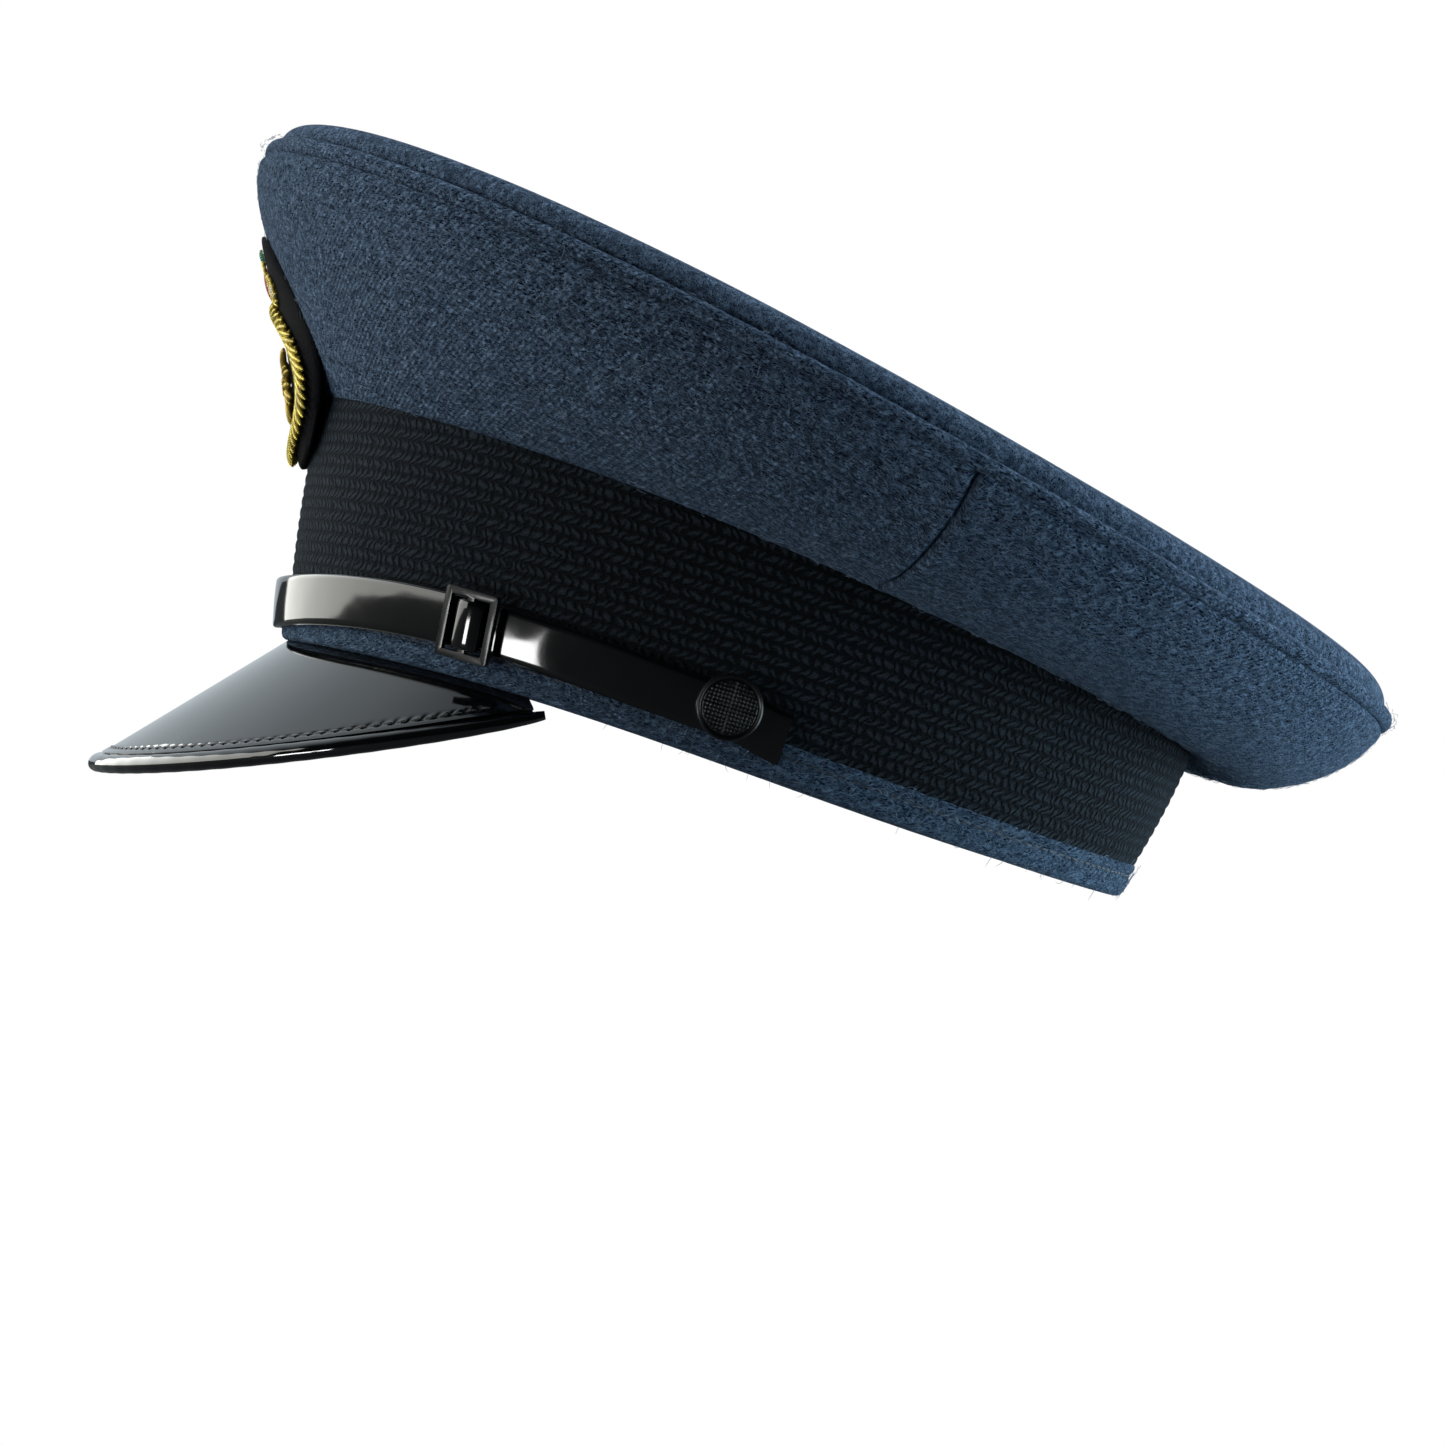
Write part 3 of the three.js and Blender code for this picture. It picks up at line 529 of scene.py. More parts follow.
WOOL = dict(dark=(0.0015, 0.004, 0.012), middle=(0.013, 0.028, 0.062), light=(0.19, 0.29, 0.45))
BLUE = wool("blue_wool", **WOOL)
BLUE_TOP = wool("blue_wool_top", **WOOL, slant=35 * DEG, mapped=False)
BLUE_TAPE = wool("blue_wool_tape", (0.005, 0.011, 0.025), (0.026, 0.052, 0.1),
                 (0.16, 0.25, 0.38), 75 * DEG)
BRAID = braid("black_braid")
PATENT = patent("patent_leather", 0.08, 0.75)
STRAP_PATENT = patent("strap_patent", 0.3, 0.25)
UNDER_PEAK = leather("peak_underside", (0.012, 0.012, 0.013), (0.022, 0.022, 0.024), 700, 0.5)
BROWN = leather("brown_leather", (0.075, 0.028, 0.012), (0.16, 0.068, 0.03), 380, 0.5)
SATIN = satin("satin_lining", (0.008, 0.012, 0.026), (0.018, 0.027, 0.052))
LACQUER = lacquer("black_metal", 0.26, 700)
BUTTON_LACQUER = lacquer("button_black", 0.36, 900)
GOLD = bullion("gold_wire", (1.0, 0.80, 0.15))
GOLD_DARK = bullion("gold_wire_dark", (0.75, 0.55, 0.10), 0.38)
FELT = felt("badge_felt", (0.004, 0.0045, 0.007))
RED = thread("red_thread", (0.5, 0.015, 0.03))
WHITE = thread("white_thread", (0.82, 0.8, 0.74), 0.35)
GREEN = thread("green_thread", (0.02, 0.28, 0.1))
BLACK_THREAD = thread("black_thread", (0.012, 0.012, 0.014))
BLUE_THREAD = thread("blue_thread", (0.03, 0.05, 0.08))
FIBRE_THREAD = thread("wool_fibre", (0.22, 0.32, 0.45), 0.8)
STEEL = metal("steel", (0.5, 0.5, 0.52))
VINYL = vinyl("clear_vinyl")
BOARD = leather("peak_board", (0.1, 0.075, 0.05), (0.2, 0.16, 0.11), 200, 0.8)
BUCKRAM = leather("stiffener", (0.55, 0.53, 0.48), (0.72, 0.7, 0.65), 500, 0.7)
WADDING = felt("wadding", (0.7, 0.69, 0.65))


def wear(obj, paint, body, slot, *nodes):
    """Gives a piece its paint and its body, and hides the CAD nodes that it stands for; its slot
    is not used.
    """
    obj.data.materials.clear()
    obj.data.materials.append(paint)
    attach(obj, body)
    if nodes:
        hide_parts(*nodes)


# ---- Camera, lights and floor ----

def add_camera():
    a, e, r = CAMERA["azimuth"], CAMERA["elevation"], CAMERA["roll"]
    back = Vector((math.sin(a) * math.cos(e), -math.cos(a) * math.cos(e), math.sin(e)))
    right = (-back).cross(Vector((0, 0, 1))).normalized()
    up = back.cross(right)
    across = right * math.cos(r) + up * math.sin(r)
    over = up * math.cos(r) - right * math.sin(r)
    place = Vector(CAMERA["target"]) + back * CAMERA["distance"]
    data = bpy.data.cameras.new("camera")
    data.sensor_width = 36
    data.lens = CAMERA["lens"]
    data.clip_start = 0.01
    camera = bpy.data.objects.new("camera", data)
    camera.matrix_world = Matrix((
        (across.x, over.x, back.x, place.x * MM),
        (across.y, over.y, back.y, place.y * MM),
        (across.z, over.z, back.z, place.z * MM),
        (0, 0, 0, 1)))
    bpy.context.scene.collection.objects.link(camera)
    bpy.context.scene.camera = camera


def area_light(name, place, target, size, power, colour=(1, 1, 1)):
    data = bpy.data.lights.new(name, "AREA")
    data.shape = "RECTANGLE"
    data.size, data.size_y = size
    data.energy = power
    data.color = colour
    light = bpy.data.objects.new(name, data)
    light.location = place
    look = Vector(target) - Vector(place)
    light.rotation_euler = look.to_track_quat("-Z", "Y").to_euler()
    bpy.context.scene.collection.objects.link(light)


def white_to_camera(nodes, kind, lit):
    """The lit shader, but plain white of the given kind where the camera sees it itself."""
    seen = nodes.node(kind, {"Color": (1, 1, 1, 1), "Strength": 1.0})
    share = nodes.node("LightPath").outputs["Is Camera Ray"]
    return nodes.node("MixShader", {0: share, 1: lit.outputs[0], 2: seen.outputs[0]}).outputs[0]


def add_world():
    """White where the camera looks past the cap; light that is strong from the cap's right."""
    world = bpy.data.worlds.new("studio")
    bpy.context.scene.world = world
    world.use_nodes = True
    world.node_tree.nodes.clear()
    w = Nodes(world.node_tree)
    toward = w.node("SeparateXYZ", {0: w.node("TexCoord").outputs["Generated"]}).outputs
    side = w.ramp(toward[0], -0.35, 0.3, 0.85, 0.01, "SMOOTHSTEP")
    height = w.ramp(toward[2], -0.7, 0.5, 0.35, 1.0)
    lit = w.node("Background", {"Color": (0.84, 0.94, 1.0, 1),
                                "Strength": w.math("MULTIPLY", side, height)})
    w.node("OutputWorld", {0: white_to_camera(w, "Background", lit)})


def add_lights():
    centre = (0, 0, 0.03)
    area_light("front_box", (-0.35, -1.35, -0.1), centre, (2.4, 1.5), 37, (0.98, 0.98, 0.92))
    area_light("low_box", (0.522, -0.595, -0.245), (0.08, -0.046, 0.015), (0.16, 0.11), 1.25)
    area_light("rear_box", (0.0, 1.3, 0.05), centre, (1.4, 1.0), 29, (0.72, 0.91, 1.0))
    area_light("top_box", (-0.25, 0.1, 1.3), centre, (1.4, 1.4), 16, (0.86, 0.95, 1.0))
    bpy.context.scene.view_settings.view_transform = "Standard"


def add_floor():
    """A pale floor, well below the cap, which a head would hold up."""
    data = bpy.data.meshes.new("floor")
    reach, z = 6.0, -0.3
    data.from_pydata([(-reach, -reach, z), (reach, -reach, z), (reach, reach, z),
                      (-reach, reach, z)], [], [(0, 1, 2, 3)])
    floor = bpy.data.objects.new("floor", data)
    bpy.context.scene.collection.objects.link(floor)
    p = Paint("floor", (0.06, 0.06, 0.06), 1.0)
    p.set(p.tree.nodes["Material Output"], {"Surface": white_to_camera(p, "Emission", p.shader)})
    data.materials.append(p.material)


# ---- Crown ----

def make_quarters():
    spans = {
        "quarter_front_left": (0, SIDE_SEAM, 0.4),
        "quarter_rear_left": (SIDE_SEAM, math.pi, 1.9),
        "quarter_rear_right": (math.pi, FULL_TURN - SIDE_SEAM, 3.1),
        "quarter_front_right": (FULL_TURN - SIDE_SEAM, FULL_TURN, 4.6),
    }
    for name, (start, end, seed) in spans.items():
        def relief(u, t, start=start, end=end, seed=seed):
            near = np.minimum(t - start, end - t) * WALL["radius"]
            seam = (SEAM["ridge"] * bell(near - SEAM["ridge_at"], SEAM["ridge_width"])
                    - SEAM["depth"] * bell(near, SEAM["width"]))
            tuck = (-TUCK["foot"] * bell(u * WALL["height"], TUCK["foot_width"])
                    - TUCK["rim"] * bell((1 - u) * WALL["height"], TUCK["rim_width"]))
            return seam + tuck + ripple(u, t, 0.13, seed) * np.sin(math.pi * np.clip(u, 0, 1))
        piece = shell(name + "_cloth", moved(crown_face, relief), moved(crown_face, -CLOTH),
                      gathered(46, 0.7), start + (end - start) * gathered(150, 0.8))
        wear(piece, BLUE, "cap", "blue_wool", name)


def rim_out(oval, t):
    """The level direction out of the crown's rim."""
    return unit(np.stack(np.broadcast_arrays(np.sin(t) / oval["a"], -np.cos(t) / oval["b"],
                                             0 * t), -1))


def make_piping():
    """The corded edge round the rim, set a little into the quarters and slightly uneven."""
    inset, drop, swell = 0.75, 0.35, 0.2
    t = np.linspace(0, FULL_TURN, 420, endpoint=False)
    oval = dict(CROWN_RIM, a=CROWN_RIM["a"] - inset, b=CROWN_RIM["b"] - inset)
    centres = between(oval, oval, 0, 0, t) + UP * (PIPING["rise"] - drop)
    size = (PIPING["radius"] + swell) * (1 + 0.02 * np.sin(61 * t) * np.sin(23 * t + 1))[:, None]
    piping = tube("crown_piping_cloth", centres, rim_out(oval, t) * size, UP * size, 20,
                  closed=True)
    wear(piping, BLUE, "cap", "blue_wool", "crown_piping")


def solve_swell():
    """Cloth solve of the top with its wadding: where the pad's skin ends up, point by point."""
    pad = shell("crown_pad_solve", lambda r, t: top_face(r, t, 1.5, 0.5),
                lambda r, t: top_face(r, t, 4, 7), np.linspace(0, 1, 24),
                angles(0, FULL_TURN, 3 * DEG), plan=True)
    remesh = pad.modifiers.new("remesh", "REMESH")
    remesh.mode = "VOXEL"
    remesh.voxel_size = SWELL["voxel"] * MM
    finish_modifiers(pad)
    start = np.array([v.co for v in pad.data.vertices])
    cloth = pad.modifiers.new("cloth", "CLOTH")
    cloth.settings.use_pressure = True
    cloth.settings.uniform_pressure_force = SWELL["pressure"]
    cloth.settings.effector_weights.gravity = 0
    scene = bpy.context.scene
    for frame_number in range(1, SWELL["frames"] + 1):
        scene.frame_set(frame_number)
    graph = bpy.context.evaluated_depsgraph_get()
    end = np.array([v.co for v in pad.evaluated_get(graph).data.vertices])
    scene.frame_set(1)
    bpy.data.objects.remove(pad)
    tree = KDTree(len(start))
    for k, place in enumerate(start):
        tree.insert(place, k)
    tree.balance()
    return tree, (end - start)[:, 2] / MM


def swell_relief(points):
    """Height to add at each point of the top, from the solve, capped either way."""
    tree, rise = solve_swell()
    flat = points.reshape(-1, 3) * MM
    added = np.empty(len(flat))
    for k, place in enumerate(flat):
        near = tree.find_n(place, 5)
        weights = np.array([1 / (far + 1e-3) for _, _, far in near])
        added[k] = (weights * rise[[i for _, i, _ in near]]).sum() / weights.sum()
    added -= np.median(added)
    return np.clip(added, -SWELL["cap"], SWELL["cap"]).reshape(points.shape[:-1])


def make_crown():
    make_quarters()
    make_piping()

    def top_skin(r, t):
        face = top_face(r, t)
        added = ripple(r, t, 0.14, 2.3) * (1 - r ** 6) + swell_relief(face) * (1 - r ** 12)
        return face + UP * added[..., None]
    top = shell("crown_top_cloth", top_skin, lambda r, t: top_face(r, t, CLOTH, CLOTH),
                toward_rim(60), angles(0, FULL_TURN, 1 * DEG), plan=True)
    wear(top, BLUE_TOP, "cap", "blue_wool", "crown_top")


# ---- Headband ----

def make_band():
    rows_per_rib = 7

    def rib_height(v, t):
        length = v * (oval_height(BAND_TOP, t) - oval_height(LOWER_EDGE, t))
        return -0.25 + 0.26 * np.abs(np.sin(math.pi * length / RIB_PITCH)) ** 0.8

    def above_welt(distance):
        """The band's face from just inside the welt to just inside the crown."""
        return lambda k, t: moved(band_face, distance)(
            mix(band_share(WELT_HEIGHT - 0.6, t), 1.004, k), t)
    band = shell("mohair_band_ribs", above_welt(rib_height), above_welt(-CLOTH),
                 np.linspace(0, 1, RIBS * rows_per_rib), angles(0, FULL_TURN, 0.5 * DEG),
                 sharp=80 * DEG)
    wear(band, BRAID, "cap", "black_braid", "mohair_band")


def soften_line(values):
    """Rounds an outline's corners, keeping its ends."""
    padded = np.concatenate([[values[0]], values, [values[-1]]])
    soft = padded[:-2] * 0.2 + padded[1:-1] * 0.6 + padded[2:] * 0.2
    soft[0], soft[-1] = values[0], values[-1]
    return soft


def make_welt():
    """Tape folded under the band's lower edge, with a stitched groove above its roll."""
    outline = [(-3, 0.15), (-1.2, -0.05), (0.1, 0.05), (0.85, 0.6), (1.1, 1.6), (1.15, 2.8),
               (1.0, 4.0), (0.6, 4.9), (0.2, 5.3), (0.25, 5.7), (0.55, 6.1), (0.65, 6.9),
               (0.55, 7.6), (0.2, WELT_HEIGHT)]
    out, z = (np.array(c) for c in zip(*outline))
    index = np.arange(len(out))
    back_out = np.interp(index, [0, 2, 4, index[-1]], [-3, -1.6, -1.25, -1.15])
    back_z = np.maximum(z, np.interp(index, [0, 3, 5], [2.2, 2.3, 2.6]))

    def face(far, height):
        def at(k, t):
            wave = 0.05 * np.sin(90 * t) * np.sin(37 * t + k)
            return off_band(np.interp(k, index, height), t,
                            lambda u, t: np.interp(k, index, far) + wave)
        return at
    welt = shell("base_welt_cloth", face(soften_line(out), soften_line(z)),
                 face(back_out, back_z), np.linspace(0, index[-1], 53), angles(0, FULL_TURN),
                 sharp=70 * DEG)
    wear(welt, BLUE_TAPE, "cap", "blue_wool", "base_welt")
    gap, groove, proud = 3.1 / 100, 5.45, 0.33
    t = np.arange(int(FULL_TURN / gap)) * gap
    seam = stitches("welt_stitches", 2.5, 0.24,
                    frames_on(moved(band_face, proud), band_share(groove, t), t))
    wear(seam, BLUE_THREAD, "cap", "blue_wool")


def make_sweatband():
    height, seam_height, stitch_count = 30, 3.4, 176

    def face(far):
        def at(z, t):
            pull = 0.35 * np.sin(14 * t + 0.5) * np.sin(math.pi * np.clip(z / height, 0, 1))
            return off_band(z, t, lambda u, t: far + pull - 0.3 * bell(z - seam_height, 0.5))
        return at
    rows = np.concatenate([np.linspace(0.8, 6, 22), np.linspace(6.6, height, 16)])
    band = shell("sweatband_leather", face(-5.7), face(-6.8), rows,
                 angles(0, FULL_TURN, 1.5 * DEG))
    wear(band, BROWN, "cap", "brown_leather", "sweatband")
    t = FULL_TURN * np.arange(stitch_count) / stitch_count
    seam = stitches("sweatband_stitches", 2.4, 0.24,
                    frames_on(moved(band_face, -6.75), band_share(seam_height, t), t))
    wear(seam, BLACK_THREAD, "cap", "brown_leather")


def make_linings():
    side = shell("side_lining_satin",
                 moved(crown_face, lambda u, t: -4.6 + ripple(u, t, 0.12, 1.1)),
                 moved(crown_face, -5.3), np.linspace(0.02, 0.86, 24),
                 angles(0, FULL_TURN, 1.5 * DEG))
    wear(side, SATIN, "cap", "satin_lining", "side_lining")
    rows, ring = toward_rim(24), angles(0, FULL_TURN, 3 * DEG)

    def pleated(r, t):
        pleats = 0.3 * (1 + np.cos(24 * t)) * bell(1 - r, 0.3)
        return top_face(r, t, 12.6, 8.6) - UP * pleats[..., None]
    top = shell("top_lining_satin", lambda r, t: top_face(r, t, 12, 8), pleated, rows, ring,
                plan=True)
    wear(top, SATIN, "cap", "satin_lining", "top_lining")
    shield = shell("sweat_shield_vinyl", lambda r, t: top_face(r, t, 12, 9.6),
                   lambda r, t: top_face(r, t, 12.6, 10.2), rows * 0.55, ring, plan=True)
    wear(shield, VINYL, "cap", "clear_vinyl", "sweat_shield")


# ---- Peak ----

def peak_face(v, s):
    """From the band, v = 0, to the outer edge, 1; s runs from -1 on the right to 1."""
    t = PEAK["end"] * s
    inner = np.stack(np.broadcast_arrays(
        (LOWER_EDGE["a"] - PEAK["inset"]) * np.sin(t),
        LOWER_EDGE["cy"] - (LOWER_EDGE["b"] - PEAK["inset"]) * np.cos(t),
        oval_height(LOWER_EDGE, t) - PEAK["tuck"]), -1)
    sweep = s * math.pi / 2
    outer = np.stack(np.broadcast_arrays(
        (LOWER_EDGE["a"] + PEAK["horn_out"]) * np.sin(PEAK["horn"]) * np.sin(sweep),
        mix(LOWER_EDGE["cy"] - LOWER_EDGE["b"] * np.cos(PEAK["horn"]), PEAK["tip_y"],
            np.cos(sweep)),
        PEAK["tip_z"] + PEAK["rise"] * (1 - np.cos(sweep)) ** PEAK["power"]), -1)
    return inner + (outer - inner) * np.asarray(v)[..., None]


def above_peak(distance):
    """The peak's face moved up by a number or by distance(v, s)."""
    def down(v, s):
        return -distance(v, s) if callable(distance) else -distance
    return moved(peak_face, down)


def peak_width(s):
    return np.linalg.norm(peak_face(0.0, s) - peak_face(1.0, s), axis=-1)


PEAK_SHARES = np.linspace(-1, 1, 2001)
PEAK_RUN = arc_lengths(peak_face(1.0, PEAK_SHARES), 0)


def peak_run(s):
    """Length along the peak's outer edge from its right end to s."""
    return np.interp(s, PEAK_SHARES, PEAK_RUN)


def within_peak(distance, margin):
    """The peak's face less a margin at its edge; the row v = -1 reaches under the welt."""
    under_welt = 2.2

    def at(v, s):
        width = peak_width(s)
        end = np.maximum(1 - margin / width, 0.05)
        return above_peak(distance)(np.where(v < 0, -under_welt / width, v * end), s)
    return at


def peak_dome(v, s):
    """Height of the patent: raised outside the stitches, and drawn down at each of them."""
    width, line = peak_width(s), STITCH["margin"]
    margin = (1 - v) * width
    pull = np.abs(np.cos(math.pi * peak_run(s) / STITCH["gap"])) ** 3
    flange = STITCH["flange"] * smooth_step(-margin, -line - 0.9, -line - 0.1)
    pucker = STITCH["depth"] * bell(margin - line, 0.7) * (0.25 + 0.75 * pull)
    return 1.3 + (flange - pucker) * smooth_step(width, 7, 12)


def make_peak():
    end = 0.985
    rows = np.concatenate([[-1], np.linspace(0, 0.84, 18), np.linspace(0.85, 1, 30)])
    cover = shell("peak_cover_patent", within_peak(0.6, 2.0), within_peak(peak_dome, 2.0), rows,
                  np.linspace(-end, end, 1000))
    wear(cover, PATENT, "cap", "patent_leather", "peak_cover")
    lining = shell("peak_lining_skin", within_peak(-1.6, 2.2), within_peak(-1.05, 2.2),
                   np.linspace(0, 1, 24), np.linspace(-end, end, 160))
    wear(lining, UNDER_PEAK, "cap", "peak_underside", "peak_lining")
    make_peak_edge()


def make_peak_edge():
    """The rolled edge, whose ends tuck under the welt, and the stitches just inside it."""
    s = np.linspace(-0.995, 0.995, 640)
    centre = peak_face(1.0, s)
    tucked = np.abs(s) ** 20
    centre[:, 0] -= 3 * np.sign(s) * tucked
    centre[:, 2] += 0.4 * tucked
    along = unit(peak_face(1.0, s + TINY) - peak_face(1.0, s - TINY))
    wide = centre - peak_face(0.0, s)
    wide = unit(wide - along * (wide * along).sum(1, keepdims=True))
    size = (1 - 0.45 * s ** 8 - 0.2 * s ** 40) * (1 + 0.012 * np.sin(0.9 * peak_run(s)))
    edge = tube("peak_binding_roll", centre, wide * 2.3 * size[:, None],
                np.cross(wide, along) * 1.9 * size[:, None], 24)
    wear(edge, PATENT, "cap", "patent_leather", "peak_binding")
    gap, narrowest = STITCH["gap"], 9
    run = np.arange(3 * gap, PEAK_RUN[-1] - 3 * gap, gap) + gap / 2
    s = np.interp(run, PEAK_RUN, PEAK_SHARES)
    s = s[peak_width(s) >= narrowest]
    seam = stitches("peak_stitches", 2.1, 0.27,
                    frames_on(above_peak(1.3), 1 - STITCH["margin"] / peak_width(s), s))
    wear(seam, BLACK_THREAD, "cap", "patent_leather")


# ---- Chin strap ----

def strap_height(t):
    tab = smooth_step(np.abs(t), STRAP["tab_start"], STRAP["tab_end"])
    return (STRAP["height"] - STRAP["front_drop"] * np.cos(t) ** 4
            - STRAP["side_fall"] * np.sin(t) ** 8 - STRAP["tab_droop"] * tab)


def strap_face(offset):
    """From the strap's lower edge, k = -1, to its upper edge, 1, so far off the band."""
    def at(k, t):
        z = strap_height(t) + k * STRAP["width"] / 2 - oval_height(LOWER_EDGE, t)
        return off_band(z, t, offset(k, t) if callable(offset) else offset)
    return at


def make_strap():
    """Two halves, each with one end at a buckle; the right one lies outside at the front."""
    tab, buckle = STRAP["tab_end"], BUCKLE["angle"]
    k = np.concatenate([[-1, -0.985, -0.95], np.linspace(-0.88, 0.88, 12), [0.95, 0.985, 1]])

    def rounded(base, side):
        """Top or underside of the strap, with its long edges turned over."""
        def at(k, t):
            drop = 0.42 * np.clip((np.abs(k) - 0.9) / 0.1, 0, 1) ** 2
            lift = base(t) + (STRAP["thick"] - drop if side > 0 else drop)
            crown = 0.1 * (1 - k * k)
            tilt = 0.16 * k * np.sin(11 * np.abs(t) + 1) * smooth_step(np.abs(t), 1.0, 1.3)
            return lift + (crown + tilt + 0.05 * np.sin(9 * t + 2 * k)) * (side > 0)
        return at

    def curl(t):
        return 0.9 * smooth_step(t, tab - 4 * DEG, tab + 1 * DEG)

    def left_base(t):
        return STRAP["stand_off"] + curl(t)

    def right_base(t):
        outer = smooth_step(t, -buckle - 8 * DEG, -buckle - 1 * DEG)
        return STRAP["stand_off"] + STRAP["layer"] * outer + curl(-t)
    for word, base, start, end in (("left", left_base, -buckle, tab),
                                   ("right", right_base, -tab, buckle)):
        half = shell(f"chin_strap_{word}_patent", strap_face(rounded(base, 1)),
                     strap_face(rounded(base, -1)), k, angles(start, end), sharp=60 * DEG)
        wear(half, STRAP_PATENT, "chin_strap", "strap_patent", f"chin_strap_{word}")


def softened(node, name, width):
    """A copy of a CAD node with its sharp edges rounded."""
    obj = bpy.data.objects.new(name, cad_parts[node].data.copy())
    bpy.context.scene.collection.objects.link(obj)
    work = bmesh.new()
    work.from_mesh(obj.data)
    bmesh.ops.remove_doubles(work, verts=work.verts, dist=1e-6)
    bmesh.ops.dissolve_limit(work, angle_limit=2 * DEG, verts=work.verts, edges=work.edges)
    work.to_mesh(obj.data)
    work.free()
    bevel = obj.modifiers.new("round", "BEVEL")
    bevel.width = width * MM
    bevel.segments = 3
    bevel.limit_method = "ANGLE"
    bevel.angle_limit = 35 * DEG
    bpy.context.view_layer.update()
    finish_modifiers(obj)
    obj.data.shade_smooth()
    obj.data.set_sharp_from_angle(angle=40 * DEG)
    return obj


def make_buckles():
    for word, side in (("left", 1), ("right", -1)):
        name = f"buckle_{word}"
        wear(softened(name, name + "_frame", BUCKLE["rounding"]), LACQUER, name, "black_metal",
             name)
        make_strap_fold(word, side)


def make_strap_fold(word, side):
    """The strap's turn over the buckle's middle bar: a flat strip with round edges."""
    stand = STRAP["stand_off"] + 2 * STRAP["layer"] + 0.17 + BUCKLE["depth"] / 2
    point, along, up, normal = frames_on(strap_face(stand), 0.0, side * BUCKLE["angle"])
    q = np.linspace(-0.62 * math.pi, 0.62 * math.pi, 22)
    wide, proud, sides = 3.0, 1.3, 20
    path = (point + np.outer(np.sin(q) * wide, along)
            + np.outer((np.cos(q) - 0.15) * proud, normal))
    half = up * (STRAP["width"] / 2 - 0.25)
    outward = unit(np.outer(np.sin(q), along) * 0.6 + np.outer(np.cos(q), normal))
    fold = tube(f"strap_fold_{word}", path, np.tile(half, (len(q), 1)), outward * 0.33, sides)
    turn = np.linspace(0, FULL_TURN, sides, endpoint=False)
    across = np.sign(np.cos(turn)) * np.abs(np.cos(turn)) ** 0.35
    rings = (path[:, None] + half * across[None, :, None]
             + outward[:, None] * 0.38 * np.sin(turn)[None, :, None])
    for vertex, place in zip(fold.data.vertices, rings.reshape(-1, 3) * MM):
        vertex.co = place
    wear(fold, STRAP_PATENT, f"buckle_{word}", "strap_patent")


# ---- Side buttons ----

def make_buttons():
    for word, side in (("left", 1), ("right", -1)):
        name = f"button_{word}"
        low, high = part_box(name)
        cap = button_mesh(name + "_cap", (low.x if side > 0 else high.x) / MM, side)
        wear(cap, BUTTON_LACQUER, name, "button_black", name)


def button_mesh(name, base, side):
    """A domed button with a rolled rim and a fine square grid on its face."""
    radius, sides = BUTTON["radius"], 144
    face = radius - 1.2
    profile = [(0, 0.0), (radius - 1.0, 0.0), (radius - 0.35, 0.2), (radius, 0.7),
               (radius, 1.2), (radius - 0.2, 1.75), (radius - 0.5, 1.95), (radius - 0.85, 1.85),
               (radius - 1.05, 1.62)]
    rho, rise = (np.array(c, float) for c in zip(*profile))
    inner = np.linspace(face, 0, 44)
    rho = np.concatenate([rho, inner])
    rise = np.concatenate([rise, 1.6 + 0.5 * (1 - (inner / face) ** 2)])
    turn = np.linspace(0, FULL_TURN, sides, endpoint=False)
    y, z = rho[:, None] * np.cos(turn), rho[:, None] * np.sin(turn)
    grid = (np.abs(np.sin(math.pi * y / BUTTON["grid"]))
            * np.abs(np.sin(math.pi * z / BUTTON["grid"]))) ** 0.6
    inside = (np.arange(len(rho)) >= len(profile)) * np.clip((face - rho) / 0.3, 0, 1)
    x = rise[:, None] + BUTTON["relief"] * grid * inside[:, None]
    points = np.stack([base + side * x, BUTTON["y"] + y, BUTTON["z"] + z], -1)
    return mesh_object(name, points.reshape(-1, 3), sleeve(len(rho), sides), sharp=35 * DEG)


# ---- Badge ----

BADGE_FOOT = np.array([0, *BADGE["bottom"]])
BADGE_LINE = np.array([0, *BADGE["top"]]) - BADGE_FOOT
BADGE_LENGTH = float(np.linalg.norm(BADGE_LINE))
BADGE_UP = BADGE_LINE / BADGE_LENGTH
BADGE_OUT = np.array([0, -BADGE_UP[2], BADGE_UP[1]])


def badge_point(h, x, lift):
    """From the badge's foot, h = 0, to its top, 1, x across it and lifted off it."""
    h, x, lift = np.broadcast_arrays(h, x, lift)
    point = BADGE_FOOT + h[..., None] * BADGE_LINE + lift[..., None] * BADGE_OUT
    edge = 1 + 1.2 * (x / BADGE["half"]) ** 2
    back = x * x / (2 * BADGE["curve"]) + BADGE["hollow"] * np.sin(math.pi * h) * edge
    return point + np.stack([x, back, 0 * x], -1)


def badge_half_width(h):
    top = np.clip((h - 0.55) / 0.45, 0, 1)
    foot = np.clip((0.14 - h) / 0.14, 0, 1)
    rounding = np.sqrt(np.maximum((1 - top ** 3) * (1 - foot ** 3), 0.0004))
    return BADGE["half"] * np.sin(math.pi * (0.12 + 0.76 * h)) ** 0.4 * rounding


def make_badge():
    def puff(h, k):
        edge = np.maximum(1 - np.abs(k) ** 5, 0) * np.maximum(1 - np.abs(2 * h - 1) ** 7, 0)
        return 0.5 + 1.25 * edge ** 0.5
    backing = shell("badge_backing_felt",
                    lambda h, k: badge_point(h, k * badge_half_width(h), puff(h, k)),
                    lambda h, k: badge_point(h, k * badge_half_width(h), 0.05),
                    (1 - np.cos(np.linspace(0, math.pi, 60))) / 2, np.linspace(-1, 1, 50))
    wear(backing, FELT, "cap", "badge_felt", "badge_backing")
    make_bullion_ring()
    make_rosette()
    make_badge_top()


